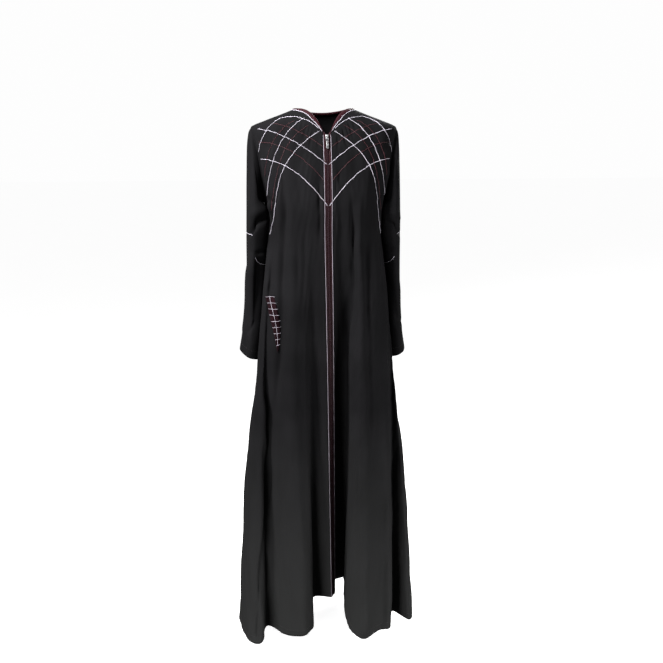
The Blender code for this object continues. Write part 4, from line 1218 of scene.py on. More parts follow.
def torso_direction(points):
    """Outward directions of the upper torso at points on it."""
    steps = np.eye(3) * 1e-4
    return unit(np.stack([outside(points + step) - outside(points - step) for step in steps], axis=-1))


# %% Lay a cord on the cloth
LATTICE_WIDTH = 0.0010
LATTICE_HEIGHT = 0.0009
CORD_STEP = 0.0030
HUMP = 0.0011
HUMP_REACH = 0.0065
laid_places = []  # of the cords that later ones cross


def on_cloth(surface, bend, side, step=CORD_STEP):
    """Places and outward directions on a surface along a line of x and level, seen from the front."""
    found = [surface.seen(side * x, level) for x, level in bend]
    places = evenly(np.array([hit[0] for hit in found if hit is not None]), step)
    hits = [surface.nearest(place) for place in places]
    places = smoothed(np.array([hit[0] for hit in hits]), 2)
    normals = unit(smoothed(np.array([hit[1] for hit in hits]), 4))
    return places, normals


def lifted_over(places, normals):
    """The places, raised where they cross a cord that was laid before."""
    if not laid_places:
        return places
    under = np.concatenate(laid_places)
    apart = np.linalg.norm(places[:, None] - under[None], axis=2).min(axis=1)
    hump = HUMP * eased(1 - apart / HUMP_REACH)
    return places + normals * smoothed(hump, 2)[:, None]


# %% [markdown]
# ## Armhole seams
#
# Where a sleeve is set in, the two layers turn inwards and the seam shows as a narrow groove. A flat
# cord of the same crepe lies in it and closes it, as the seam allowance does inside.

# %% Close the armholes
SEAM_STEPS = 60
SEAM_OVERLAP = 6  # steps by which its ends lap at the armpit
SEAM_WIDTH, SEAM_HEIGHT, SEAM_DEPTH = 0.0026, 0.0014, 0.0006

armhole_seams = {}
for side in (-1, 1):
    up = np.linspace(0.0, 1.0, SEAM_STEPS + 1)
    front, back = (armhole_point(side, behind, up) for behind in (False, True))
    line = np.concatenate([back[SEAM_OVERLAP:0:-1], front, back[-2::-1]])
    line = evenly(line + np.array([side * SLEEVE_GAP / 2, 0, 0]), CORD_STEP)
    line = line - torso_direction(line) * SEAM_DEPTH
    seam = cord_mesh(
        "armhole_seam_" + SIDE_NAMES[side],
        line,
        torso_direction(line),
        SEAM_WIDTH,
        SEAM_HEIGHT,
        crepe,
    )
    stands_for(seam, "black_crepe")
    armhole_seams[side] = seam
    print(seam.name, round(float(lengths(line, 0)[-1]), 3), "m long")

# %% [markdown]
# ## The lattice on the yoke
#
# Two sets of pipings cross on the yoke. One rises from the zip towards each armhole, and the other
# leaves the neck and falls along the armhole. White and wine ones alternate. Each line is a short
# formula in x and level, and the cloth under it gives it its relief, so it dips into the gathers.

# %% Lines of the lattice
RISING_LINES = (
    # name, level at the centre, level at the armhole, reach, curve (1 is straight)
    ("wine_upper", -0.105, -0.038, 0.138, 1.6),
    ("white_upper", -0.143, -0.052, 0.177, 1.65),
    ("wine_middle", -0.195, -0.085, 0.176, 2.1),
    ("white_lower", -0.249, -0.129, 0.170, 2.0),
)
FALLING_LINES = (
    # name, then x and level of its start, its two handles and its end
    ("white_outer", 0.0205, -0.0505, 0.075, 0.003, 0.160, -0.012, 0.176, -0.112),
    ("wine_outer", 0.0800, -0.030, 0.118, -0.042, 0.156, -0.090, 0.161, -0.172),
    ("white_middle", 0.0560, -0.024, 0.105, -0.045, 0.150, -0.115, 0.156, -0.226),
    ("wine_inner", 0.0460, -0.042, 0.124, -0.082, 0.132, -0.160, 0.146, -0.262),
    ("white_inner", 0.0190, -0.0560, 0.158, -0.140, 0.120, -0.225, 0.149, -0.328),
)
WAVER = 0.00038
WAVER_LENGTHS = (0.016, 0.027, 0.043)
WAVER_ENDS = 0.01  # over which it starts and stops
sewing = np.random.default_rng(19)
RISING_START = 0.0108
LINE_STEPS = 240


def handled_curve(handles):
    """A curve from its start to its end, drawn towards its two handles."""
    start, first, second, end = np.array(handles).reshape(4, 2)
    t = np.linspace(0, 1, LINE_STEPS)[:, None]
    return start * (1 - t) ** 3 + first * 3 * t * (1 - t) ** 2 + second * 3 * t**2 * (1 - t) + end * t**3


def rising_line(x, at_centre, at_armhole, reach, curve):
    """Places of x and level on a line that rises from the zip."""
    return np.column_stack([x, at_armhole + (at_centre - at_armhole) * (1 - x / reach) ** curve])


def sewn_by_hand(bend):
    """A line of x and level with the slight waver of a piping that was sewn on by hand."""
    walked = lengths(bend, 0)
    aside = np.zeros(len(bend))
    for wavelength in WAVER_LENGTHS:
        aside += np.sin(2 * pi * walked / wavelength / sewing.uniform(0.8, 1.25) + sewing.uniform(0, 2 * pi))
    aside *= WAVER * eased(walked / WAVER_ENDS) * eased((walked[-1] - walked) / WAVER_ENDS)
    along = unit(np.gradient(bend, axis=0))
    return bend + np.column_stack([-along[:, 1], along[:, 0]]) * aside[:, None]


def lay_piping(stem, side, surface, bend):
    """A lattice piping on the cloth, over those that were laid before it."""
    name = f"{stem}_{SIDE_NAMES[side]}"
    cover, slot = (wine_piping, "wine_satin") if "wine" in stem else (white_piping, "white_piping")
    places, normals = on_cloth(surface, sewn_by_hand(bend), side)
    raised = lifted_over(places, normals)
    piece = cord_mesh(name + "_cord", raised, normals, LATTICE_WIDTH, LATTICE_HEIGHT, cover)
    stands_for(piece, slot, name)
    trims[SIDE_NAMES[side]].append(piece)
    return places


trims = {name: [] for name in ("left", "right", "back", "neck", "sleeve_left", "sleeve_right")}
for side in (-1, 1):
    surface = surfaces["front_" + SIDE_NAMES[side]]
    rising = []
    for stem, at_centre, at_armhole, reach, curve in RISING_LINES:
        bend = rising_line(np.linspace(RISING_START, reach, LINE_STEPS), at_centre, at_armhole, reach, curve)
        rising.append(lay_piping("piping_rise_" + stem, side, surface, bend))
    laid_places += rising
    for stem, *handles in FALLING_LINES:
        laid_places.append(lay_piping("piping_fall_" + stem, side, surface, handled_curve(handles)))
    print("lattice of the", SIDE_NAMES[side], "front:", len(trims[SIDE_NAMES[side]]), "pipings")

# %% [markdown]
# ## The zip's band
#
# Between the fronts lies a wine band with the zip in its middle. Each half is a strip: the zip's
# woven tape beside the teeth, and beyond it satin, folded under along the tape, which makes it stand
# a little higher. The strip follows the same curve as the fronts' edges, from the neck to the hem.

# %% Strips of the band
ZIP_V_DROP = 0.008
BAND_COLUMNS = 9
TAPE_SHARE = 0.52  # of a strip's width, beside the teeth
BAND_THICK = 0.0007
SATIN_RISE = 0.0007
TEETH_GAP = 0.0004
BAND_END = 0.985  # of its half width, so that it ends under the piping
SATIN_END, SATIN_EDGES = 0.99, (0.08, 0.10)  # shares of the width: its end, its rise and its fall
SATIN_PUCKERS = (0.00018, (0.02, 0.05), (0.018, 0.05))


def band_grid(side):
    """A strip of the band from the hem up, with its columns in the direction +X."""
    shares = np.linspace(TEETH_GAP / ZIP_HALF, BAND_END, BAND_COLUMNS)
    shares = shares if side > 0 else shares[::-1]
    angles = side * ZIP_EDGE_ANGLE * shares
    down = 1 - np.arange(SKIRT_ROWS + 1) / SKIRT_ROWS
    skirt = skirt_point(angles[None, :], down[:, None])
    up = np.arange(1, YOKE_ROWS + 1)[:, None] / YOKE_ROWS
    x = np.broadcast_to(side * ZIP_HALF * shares[None, :], (YOKE_ROWS, BAND_COLUMNS))
    top = NECK_V_BOTTOM - ZIP_V_DROP * (1 - shares[None, :])
    level = ARMPIT + (top - ARMPIT) * up
    grid = np.concatenate([skirt, stacked(x, torso_depth(x, level, False), level)])
    satin_part = eased((shares - TAPE_SHARE) / SATIN_EDGES[0]) * eased((SATIN_END - shares) / SATIN_EDGES[1])
    pucker = slow_waves(lengths(grid, 1), lengths(grid, 0), *SATIN_PUCKERS, 5 + side)
    height = satin_part[None, :] * (SATIN_RISE + pucker)
    return grid + normals_of(grid) * height[..., None], shares


bands, band_surfaces = {}, {}
for side in (-1, 1):
    grid, shares = band_grid(side)
    across, up = lengths(grid, 1), lengths(grid, 0)
    name = "zip_band_" + SIDE_NAMES[side]
    band = sheet_mesh(name + "_strip", grid, across, up, satin, 0)
    band.data.materials.append(tape)
    middle = (shares[:-1] + shares[1:]) / 2
    woven = np.tile(middle < TAPE_SHARE, grid.shape[0] - 1).astype(int)
    band.data.polygons.foreach_set("material_index", woven)
    give_thickness(band, BAND_THICK)
    stands_for(band, "wine_satin", name)
    bands[side], band_surfaces[side] = band, Surface(grid, across, up)
    print(band.name, len(band.data.polygons), "faces")

# %% Tips of the white rising lines on the band
TIP_START, TIP_END = 0.0026, 0.0091
TIP_PLACES, TIP_STEP = 12, 0.0012
TIP_LIFT = 0.0004

for side in (-1, 1):
    for stem, *line in RISING_LINES:
        if "white" in stem:
            bend = rising_line(np.linspace(TIP_START, TIP_END, TIP_PLACES), *line)
            places, normals = on_cloth(band_surfaces[side], bend, side, TIP_STEP)
            name = f"piping_tip_{stem}_{SIDE_NAMES[side]}"
            places = places + normals * TIP_LIFT
            tip = cord_mesh(name + "_cord", places, normals, LATTICE_WIDTH, LATTICE_HEIGHT, white_piping)
            stands_for(tip, "white_piping", name)
            trims[SIDE_NAMES[side]].append(tip)

# %% [markdown]
# ## Pipings beside the zip
#
# The white piping beside the zip is sewn into the seam between the band and the front, so it lies
# exactly on the front's edge, from just under the neck to the hem. It covers that seam.

# %% Lay the zip pipings
ZIP_PIPING_TOP = -0.0635
ZIP_PIPING_WIDTH = 0.0011
ZIP_PIPING_HEIGHT = 0.0010
ZIP_PIPING_INSET = -0.0001
ZIP_PIPING_LIFT = 0.0003

for side in (-1, 1):
    grid = cloth["front_" + SIDE_NAMES[side]]
    edge, beside = (grid[:, 0], grid[:, 1]) if side > 0 else (grid[:, -1], grid[:, -2])
    away = unit(beside - edge)
    line = edge + away * ZIP_PIPING_INSET
    line = evenly(line[line[:, 2] < ZIP_PIPING_TOP], CORD_STEP)
    away_even = unit(at_places(line[:, 2], edge[:, 2], away))
    normals = unit(np.cross(away_even, unit(np.gradient(line, axis=0))) * side)
    normals = unit(smoothed(normals, 4))
    line = line + normals * ZIP_PIPING_LIFT
    name = "piping_zip_" + SIDE_NAMES[side]
    piece = cord_mesh(name + "_cord", line, normals, ZIP_PIPING_WIDTH, ZIP_PIPING_HEIGHT, shaded_zip_piping)
    stands_for(piece, "white_piping", name)
    trims[SIDE_NAMES[side]].append(piece)
    print(piece.name, round(float(lengths(line, 0)[-1]), 3), "m long")

# %% [markdown]
# ## Small things in long rows
#
# The zip has some fourteen hundred teeth, and each seam has hundreds of stitches. One of each is
# modelled, and a loop sets its copies along a path, turned to the path and to the cloth.
# All copies of a row become one mesh, and the model has only a few dozen faces.

# %% Model one tooth and one stitch
TOOTH_SIZE = (0.0033, 0.0013, 0.0015)
STITCH_LENGTH = 0.0023
STITCH_RADIUS = 0.00024
STITCH_MIDDLE = 0.66  # share of its length that is straight
TOOTH_BEVEL = 0.00035
TOOTH_HEAD = (1.12, 1.10)  # how much its meshing end is wider and higher


def start_edit(select="SELECT"):
    bpy.ops.object.mode_set(mode="EDIT")
    bpy.ops.mesh.select_all(action=select)


def end_edit():
    bpy.ops.object.mode_set(mode="OBJECT")


def keep_as_model(thing):
    """Points and faces of a small model, whose object is then dropped."""
    points = np.array([v.co[:] for v in thing.data.vertices])
    faces = [list(f.vertices) for f in thing.data.polygons]
    bpy.data.objects.remove(thing)
    return points, faces


def model_tooth():
    """A rounded bar of nylon across the zip, thicker at the end that meshes."""
    bpy.ops.object.select_all(action="DESELECT")
    bpy.ops.mesh.primitive_cube_add(size=1)
    tooth = bpy.context.object
    tooth.scale = TOOTH_SIZE
    bpy.ops.object.transform_apply(location=False, rotation=False, scale=True)
    start_edit()
    bpy.ops.mesh.bevel(offset=TOOTH_BEVEL, segments=1, affect="EDGES")
    end_edit()
    for vertex in tooth.data.vertices:
        if vertex.co.x > 0:
            vertex.co.y *= TOOTH_HEAD[0]
            vertex.co.z *= TOOTH_HEAD[1]
    return keep_as_model(tooth)


def model_stitch():
    """One stitch of thread: a thin spindle that dips into the cloth at both ends."""
    bpy.ops.object.select_all(action="DESELECT")
    bpy.ops.mesh.primitive_cylinder_add(
        vertices=5,
        radius=STITCH_RADIUS,
        depth=STITCH_LENGTH * STITCH_MIDDLE,
        end_fill_type="TRIFAN",
        rotation=(pi / 2, 0, 0),
    )
    stitch = bpy.context.object
    bpy.ops.object.transform_apply(location=False, rotation=True, scale=False)
    for vertex in stitch.data.vertices:
        if np.hypot(vertex.co.x, vertex.co.z) < STITCH_RADIUS / 2:
            vertex.co.y *= 1 / STITCH_MIDDLE
            vertex.co.z -= STITCH_RADIUS
    return keep_as_model(stitch)


tooth_model, stitch_model = model_tooth(), model_stitch()
print("a tooth has", len(tooth_model[1]), "faces and a stitch", len(stitch_model[1]))


# %% Set copies of a model along a path
def frames_along(places, normals):
    """Across, along and out of the cloth, at each place of a path."""
    along = unit(np.gradient(places, axis=0))
    across = unit(np.cross(along, normals))
    return across, along, np.cross(across, along)


def row_of_copies(name, model, places, frames, material, out=0.0, aside=0.0, flip=False):
    """Copies of a model, one at each place, joined in one mesh."""
    points, faces = model
    across, along, normal = frames
    shape = points * np.array([-1.0, -1.0, 1.0]) if flip else points
    spots = places + normal * out + across * aside
    whole = spots[:, None] + across[:, None] * shape[None, :, :1]
    whole = whole + along[:, None] * shape[None, :, 1:2] + normal[:, None] * shape[None, :, 2:]
    offsets = np.arange(len(places)) * len(points)
    all_faces = [[offset + corner for corner in face] for offset in offsets for face in faces]
    return new_object(name, whole.reshape(-1, 3), all_faces, material)


# %% [markdown]
# ## Teeth of the zip
#
# Nylon teeth of the two sides take turns along the centre line, a little under two millimetres
# apart. They start under the slider and end a little above the hem.

# %% Teeth
TOOTH_PITCH = 0.0019
TOOTH_ASIDE = 0.0010
TOOTH_OUT = 0.0003
TEETH_TOP = -0.070
TEETH_END = 0.006  # above the hem
CENTRE_SHIFT = 0.002
UPPER_PLACES = 39


def centre_line():
    """Places on the zip's centre line from the hem up, with the direction out of the cloth."""
    lines = []
    down = 1 - np.arange(SKIRT_ROWS + 1) / SKIRT_ROWS
    level = ARMPIT + (TEETH_TOP - ARMPIT) * np.arange(1, UPPER_PLACES + 1) / UPPER_PLACES
    for shift in (-CENTRE_SHIFT, 0.0, CENTRE_SHIFT):
        angle = shift / ZIP_HALF * ZIP_EDGE_ANGLE
        upper = stacked(shift, torso_depth(np.full_like(level, shift), level, False), level)
        lines.append(np.concatenate([skirt_point(angle, down), upper]))
    right, middle, left = lines
    normals = unit(np.cross(left - right, np.gradient(middle, axis=0)))
    return middle, normals


def along_centre(start, step):
    """Places every step along the centre line, from start metres above the hem."""
    middle, normals = centre_line()
    walked = lengths(middle, 0)
    even = np.arange(start, walked[-1], step)
    return at_places(even, walked, middle), unit(at_places(even, walked, normals))


for side in (-1, 1):
    places, normals = along_centre(TEETH_END + (TOOTH_PITCH / 2 if side > 0 else 0), TOOTH_PITCH)
    teeth = row_of_copies(
        "zip_teeth_" + SIDE_NAMES[side],
        tooth_model,
        places,
        frames_along(places, normals),
        nylon,
        out=TOOTH_OUT,
        aside=side * TOOTH_ASIDE,
        flip=side > 0,
    )
    stands_for(teeth, "wine_satin")
    trims[SIDE_NAMES[side]].append(teeth)
    print(teeth.name, len(places), "teeth")

# %% [markdown]
# ## Stitching
#
# A row of topstitching holds the satin of the band beside the teeth and along the pipings, and the
# hems of the skirt and of the sleeves are stitched about two centimetres from their edges. The
# thread is dark, so it shows only from near by.

# %% Rows of stitches
STITCH_PITCH = 0.0031
STITCH_OUT = 0.0001
HEM_STITCHES = 0.019  # above the hem
CUFF_STITCHES = 0.022
BAND_STITCHES = {"inner": TAPE_SHARE + 0.12, "outer": 0.90}  # shares of the band's width


def stitch_row(name, places, normals, owner):
    even = evenly(places, STITCH_PITCH)
    turned = unit(at_places(lengths(even, 0), lengths(places, 0), normals))
    row = row_of_copies(name, stitch_model, even, frames_along(even, turned), thread, out=STITCH_OUT)
    stands_for(row, "black_crepe")
    trims[owner].append(row)


def row_at_height(grid, up, height):
    """A line along the cloth at one height above its open edge, with its outward directions."""
    normals = normals_of(grid)
    share = np.array([np.interp(height, up[:, k], np.arange(len(grid))) for k in range(grid.shape[1])])
    low = np.minimum(share.astype(int), len(grid) - 2)
    mix = (share - low)[:, None]
    column = np.arange(grid.shape[1])
    places = grid[low, column] * (1 - mix) + grid[low + 1, column] * mix
    return places, unit(normals[low, column] * (1 - mix) + normals[low + 1, column] * mix)


for name in ("front_right", "front_left", "back"):
    grid = cloth[name]
    places, normals = row_at_height(grid, lengths(grid, 0), HEM_STITCHES)
    stitch_row("hem_stitches_" + name, places, normals, name.split("_")[-1])
for side in (-1, 1):
    grid, _, up = sleeves[side]
    whole = np.concatenate([grid, grid[:, :1]], axis=1)
    places, normals = row_at_height(whole, up, CUFF_STITCHES)
    stitch_row("cuff_stitches_" + SIDE_NAMES[side], places, normals, "sleeve_" + SIDE_NAMES[side])
    strip, shares = band_grid(side)
    for stem, share in BAND_STITCHES.items():
        column = int(np.argmin(np.abs(shares - share)))
        name = f"band_stitches_{stem}_{SIDE_NAMES[side]}"
        stitch_row(name, strip[:, column], normals_of(strip)[:, column], SIDE_NAMES[side])
print("stitched the hems, the cuffs and the band")

# %% [markdown]
# ## The neck's band and piping
#
# A bias strip of wine satin binds the neck: it covers the edge outside, wraps over it and is sewn
# down inside. It tapers towards the zip, where both fronts meet in a narrow V. A white piping
# follows its outer edge.

# %% Bind the neck
NECK_BAND = 0.010
NECK_TAPER = (0.15, 3.0)
NECK_FRONT_STEPS = 56
NECK_BACK_STEPS = 24
BINDING_THICK = 0.0006
NECK_PIPING_ASIDE, NECK_PIPING_LIFT = 0.0006, 0.0004
NECK_STITCHES, NECK_STITCHES_LIFT = 0.82, 0.0014
BINDING = (
    # share of the band's width from the edge, height over the plain cloth
    (0.80, -0.0022),
    (0.45, -0.0023),
    (0.15, -0.0020),
    (-0.04, -0.0011),
    (-0.07, -0.0001),
    (-0.01, 0.0010),
    (0.20, 0.0017),
    (0.50, 0.0019),
    (0.80, 0.0016),
    (1.00, 0.0009),
)


def neck_edge():
    """The neck's edge from the right front over the back to the left front, and the band's share."""
    out = np.arange(NECK_FRONT_STEPS + 1) / NECK_FRONT_STEPS
    front_share = np.minimum(1.0, NECK_TAPER[0] + NECK_TAPER[1] * out)
    back = np.arange(NECK_BACK_STEPS) / NECK_BACK_STEPS
    parts = [
        (neck_point(-1, False, out), front_share),
        (neck_point(-1, True, back[::-1]), np.ones(len(back))),
        (neck_point(1, True, back[1:]), np.ones(len(back) - 1)),
        (neck_point(1, False, out[::-1]), front_share[::-1]),
    ]
    return np.concatenate([p for p, _ in parts]), np.concatenate([s for _, s in parts])


def beside_neck(distance, beyond=0.0):
    """A line beside the neck's edge, and its outward directions."""
    edge, share = neck_edge()
    away = unit(np.cross(torso_direction(edge), np.gradient(edge, axis=0)))
    moved = onto_torso(edge + away * (distance * share + beyond)[:, None])
    return moved, torso_direction(moved)


rows = []
for share, height in BINDING:
    places, normals = beside_neck(share * NECK_BAND)
    rows.append(places + normals * height)
rows = np.array(rows)
neck_band = sheet_mesh(
    "neck_band_binding", rows, lengths(rows, 1), lengths(rows, 0), satin, BINDING_THICK
)
stands_for(neck_band, "wine_satin", "neck_band")
places = evenly(beside_neck(NECK_BAND, NECK_PIPING_ASIDE)[0], CORD_STEP)
neck_piping = cord_mesh(
    "piping_neck_cord",
    places + torso_direction(places) * NECK_PIPING_LIFT,
    torso_direction(places),
    LATTICE_WIDTH,
    LATTICE_HEIGHT,
    white_piping,
)
stands_for(neck_piping, "white_piping", "piping_neck")
places, normals = beside_neck(NECK_STITCHES * NECK_BAND)
stitch_row("neck_stitches", places + normals * NECK_STITCHES_LIFT, normals, "neck")
print(neck_band.name, round(float(lengths(rows, 1)[0, -1]), 3), "m long")

# %% [markdown]
# ## Pipings round the elbows
#
# A short white piping goes round each sleeve at the elbow and ends in a crease at its front.

# %% Elbow pipings
ELBOW_PIPING = (
    # turn, level
    (90.0, -0.390),
    (108.0, -0.404),
    (126.0, -0.410),
    (180.0, -0.412),
    (234.0, -0.390),
    (288.0, -0.352),
    (342.0, -0.331),
    (378.0, -0.328),
    (432.0, -0.330),
)
ELBOW_PLACES = 90

for side in (-1, 1):
    grid, round_it, up = sleeves[side]
    surface = Surface(np.concatenate([grid, grid[:, :1]], axis=1), round_it, up)
    turn = np.linspace(ELBOW_PIPING[0][0], ELBOW_PIPING[-1][0], ELBOW_PLACES)
    level = curve_through(ELBOW_PIPING, turn)[:, 0]
    part = (turn % 360) / 360 * SLEEVE_COLUMNS * (1 if side < 0 else -1) % SLEEVE_COLUMNS
    low = part.astype(int) % SLEEVE_COLUMNS
    mix = (part - np.floor(part))[:, None]
    found = []
    for k in range(len(turn)):
        column = grid[:, low[k]] * (1 - mix[k]) + grid[:, (low[k] + 1) % SLEEVE_COLUMNS] * mix[k]
        found.append([np.interp(level[k], column[:, 2], column[:, axis]) for axis in range(3)])
    line = evenly(smoothed(np.array(found), 2), CORD_STEP)
    hits = [surface.nearest(place) for place in line]
    places = smoothed(np.array([hit[0] for hit in hits]), 2)
    normals = unit(smoothed(np.array([hit[1] for hit in hits]), 3))
    name = "piping_elbow_" + SIDE_NAMES[side]
    piece = cord_mesh(name + "_cord", places, normals, LATTICE_WIDTH, LATTICE_HEIGHT, white_piping)
    stands_for(piece, "white_piping", name)
    trims["sleeve_" + SIDE_NAMES[side]].append(piece)
    print(piece.name, round(float(lengths(places, 0)[-1]), 3), "m long")

# %% [markdown]
# ## The pocket's welt
#
# A welt is a folded strip sewn over a pocket's slit. This one is dark wine cloth with fine white
# cord sewn across it in rungs and down its middle, which makes a windowpane check. It is wide at the
# top and runs out to a point.

# %% Welt
POCKET_WELT = (
    # level, inner x, outer x
    (-0.487, -0.1415, -0.1640),
    (-0.520, -0.1340, -0.1575),
    (-0.550, -0.1280, -0.1515),
    (-0.585, -0.1270, -0.1435),
    (-0.615, -0.1290, -0.1385),
    (-0.634, -0.1325, -0.1355),
)
WELT_ROWS, WELT_COLUMNS = 70, 16
WELT_LIFT, WELT_CROWN = 0.0012, 0.0012
RUNG_END = 1.11  # a rung stands out a little past the inner edge
RUNGS = (-0.4885, -0.5045, -0.5205, -0.5365, -0.5525, -0.5690, -0.5850, -0.6010, -0.6165)
CHECK_WIDTH, CHECK_HEIGHT = 0.0006, 0.0006
RUNG_TILT, RUNG_PLACES = 0.0022, 14
MIDDLE_SHARE, MIDDLE_END, MIDDLE_PLACES = 0.52, -0.616, 50
WELT_THICK = 0.0016
WELT_DARK, WELT_LIGHT = (0.0070, 0.0020, 0.0034), (0.0210, 0.0052, 0.0085)


def welt_point(level, share):
    """A place on the welt, with share from 0 at its outer edge to 1 at its inner one."""
    inner_x, outer_x = curve_through(POCKET_WELT, level)
    x = float(outer_x + (inner_x - outer_x) * share)
    place, normal, _ = surfaces["front_right"].seen(x, float(level))
    crown = WELT_CROWN * np.sqrt(max(0.0, 1 - (2 * min(share, 1.0) - 1) ** 4))
    return place + normal * (WELT_LIFT + crown), normal


levels = np.linspace(POCKET_WELT[-1][0], POCKET_WELT[0][0], WELT_ROWS)
shares = np.linspace(0, 1, WELT_COLUMNS)
grid = np.array([[welt_point(level, share)[0] for share in shares] for level in levels])
welt_cloth = make_satin("welt_cloth", WELT_DARK, WELT_LIGHT, 0.6)
welt = sheet_mesh("pocket_welt_cloth", grid, lengths(grid, 1), lengths(grid, 0), welt_cloth, WELT_THICK)
stands_for(welt, "checked_welt", "pocket_welt_right")
welt_lines = []
for level in RUNGS:
    shares = np.linspace(0.0, RUNG_END, RUNG_PLACES)
    welt_lines.append([welt_point(level + RUNG_TILT * (share - 0.5), share) for share in shares])
levels = np.linspace(RUNGS[0], MIDDLE_END, MIDDLE_PLACES)
welt_lines.append([welt_point(level, MIDDLE_SHARE) for level in levels])
checks = []
for k, line in enumerate(welt_lines):
    places, normals = np.array([p for p, _ in line]), unit(np.array([n for _, n in line]))
    keep = np.concatenate([[True], np.linalg.norm(np.diff(places, axis=0), axis=1) > 1e-5])
    checks.append(
        cord_mesh(f"welt_line_{k}", places[keep], normals[keep], CHECK_WIDTH, CHECK_HEIGHT, white_piping)
    )
join_as("pocket_welt_check", checks)
stands_for(checks[0], "white_piping")
print(welt.name, len(RUNGS), "rungs")

# %% [markdown]
# ## Slider and pull tab
#
# The slider is a cast body with two plates, narrower at its lower end, and an arched bridge on top.
# The pull tab hangs from its bar in that bridge and turns on it, so the tab rides on its own body.
# Both are modelled flat on the slider's own axes (across, up the zip, outwards), and then their
# meshes are moved to the zip.

# %% The slider's place
SLIDER_LENGTH, SLIDER_WIDTH, SLIDER_THICK = 0.012, 0.008, 0.0026
ZIP_TOP = -0.066
TRIM_LIFT = 0.0009
BRIDGE_WIDTH, BRIDGE_HOLLOW, BRIDGE_THICK, BRIDGE_LENGTH = 0.0018, 0.0022, 0.0010, 0.0080
TAB_WIDTH, TAB_LENGTH, TAB_THICK = 0.0060, 0.0300, 0.0012
HINGE_UP = -0.0018
TAB_EYE, TAB_EYE_HALF, TAB_BAR = 0.0078, 0.0014, 0.0012
SLIDER_REACH = 0.004  # how far from its middle the zip's slope is read
ROUND_STEPS = 2
ROUND_FROM, SHARP_FROM = 35, 32  # degrees between faces
ON_LEVEL, EDGE_LEAST = 1e-5, 1e-4  # for choosing edges by their place and by their run


def slider_frame():
    """From the slider's own axes to the garment's."""
    level = ZIP_TOP - SLIDER_LENGTH / 2
    below, above = (
        Vector((0, float(torso_depth(0.0, level + d, False)), level + d))
        for d in (-SLIDER_REACH, SLIDER_REACH)
    )
    up = (above - below).normalized()
    across = Vector((1, 0, 0))
    out = across.cross(up)
    return Matrix.Translation((above + below) / 2) @ Matrix((across, up, out)).transposed().to_4x4()


def block(low, high):
    """A box between two corners, as a start for a metal piece."""
    bpy.ops.object.select_all(action="DESELECT")
    bpy.ops.mesh.primitive_cube_add(size=1, location=[(a + b) / 2 for a, b in zip(low, high)])
    thing = bpy.context.object
    thing.scale = [b - a for a, b in zip(low, high)]
    bpy.ops.object.transform_apply(location=True, rotation=False, scale=True)
    return thing


def bevel_edges(thing, wanted, offset, segments):
    """Rounds the edges for which wanted(first corner, second corner) holds."""
    start_edit("DESELECT")
    bpy.ops.mesh.select_mode(type="EDGE")
    shape = bmesh.from_edit_mesh(thing.data)
    for edge in shape.edges:
        edge.select_set(bool(wanted(*(v.co for v in edge.verts))))
    bmesh.update_edit_mesh(thing.data)
    bpy.ops.mesh.bevel(offset=offset, segments=segments, affect="EDGES")
    end_edit()


def upright(a, b):
    """Whether an edge runs through a plate's thickness."""
    return abs(a.z - b.z) > EDGE_LEAST


def across_top(level):
    """A test for edges that run across at this level."""
    return lambda a, b: min(a.z, b.z) > level - ON_LEVEL and abs(a.x - b.x) > EDGE_LEAST


def soften(thing, width):
    bevel = thing.modifiers.new("Soft edges", "BEVEL")
    bevel.width, bevel.segments = width, ROUND_STEPS
    bevel.limit_method, bevel.angle_limit = "ANGLE", radians(ROUND_FROM)
    apply_modifier(thing, bevel)


def cut_out(thing, cutter):
    hole = thing.modifiers.new("Hole", "BOOLEAN")
    hole.operation, hole.object = "DIFFERENCE", cutter
    apply_modifier(thing, hole)
    bpy.data.objects.remove(cutter)


def finish_metal(thing, place):
    """Moves the mesh to its place and shades it smooth up to its sharp edges."""
    thing.data.transform(place)
    thing.data.materials.clear()
    thing.data.materials.append(metal)
    make_active(thing)
    bpy.ops.object.shade_smooth_by_angle(angle=radians(SHARP_FROM))
    return thing


# %% Model the slider
TAPER = 0.72  # width of the plates' lower ends over that of their upper ends
PLATE_CORNER, PLATE_SOFT = 0.0018, 0.00022
LOWER_PLATE = (-0.0016, -0.0006)  # heights of its two faces over the zip
UPPER_PLATE_THICK = 0.0011
INTO_PLATES = 0.0008  # how far the walls and the wedge reach into the plates
WALL_SHARE, WALL_HALF, WALL_ENDS, WALL_SOFT = 0.70, 0.0005, (-0.75, 0.6), 0.0002
WEDGE_HALF, WEDGE_ENDS, WEDGE_SOFT = 0.0012, (0.15, 0.85), 0.0003
BRIDGE_FOOT, BRIDGE_ROUND, HOLLOW_ROUND, BRIDGE_SOFT = 0.0004, 0.0022, 0.0012, 0.0002
CUTTER_HALF = 0.004

half, reach = SLIDER_WIDTH / 2, SLIDER_LENGTH / 2
low_plate, top_plate = TRIM_LIFT, TRIM_LIFT + SLIDER_THICK
plates = []
heights = ([low_plate + height for height in LOWER_PLATE], (top_plate - UPPER_PLATE_THICK, top_plate))
for bottom, top in heights:
    plate = block((-half, -reach, bottom), (half, reach, top))
    for vertex in plate.data.vertices:
        vertex.co.x *= TAPER if vertex.co.y < 0 else 1.0
    bevel_edges(plate, upright, PLATE_CORNER, 4)
    soften(plate, PLATE_SOFT)
    plates.append(plate)
bottom, top = low_plate - INTO_PLATES, top_plate - INTO_PLATES
for centre, width, ends, soft in (
    (-half * WALL_SHARE, WALL_HALF, WALL_ENDS, WALL_SOFT),
    (half * WALL_SHARE, WALL_HALF, WALL_ENDS, WALL_SOFT),
    (0.0, WEDGE_HALF, WEDGE_ENDS, WEDGE_SOFT),
):
    inner = block((centre - width, reach * ends[0], bottom), (centre + width, reach * ends[1], top))
    soften(inner, soft)
    plates.append(inner)
sides, span = BRIDGE_WIDTH / 2, BRIDGE_LENGTH / 2
roof = top_plate + BRIDGE_HOLLOW
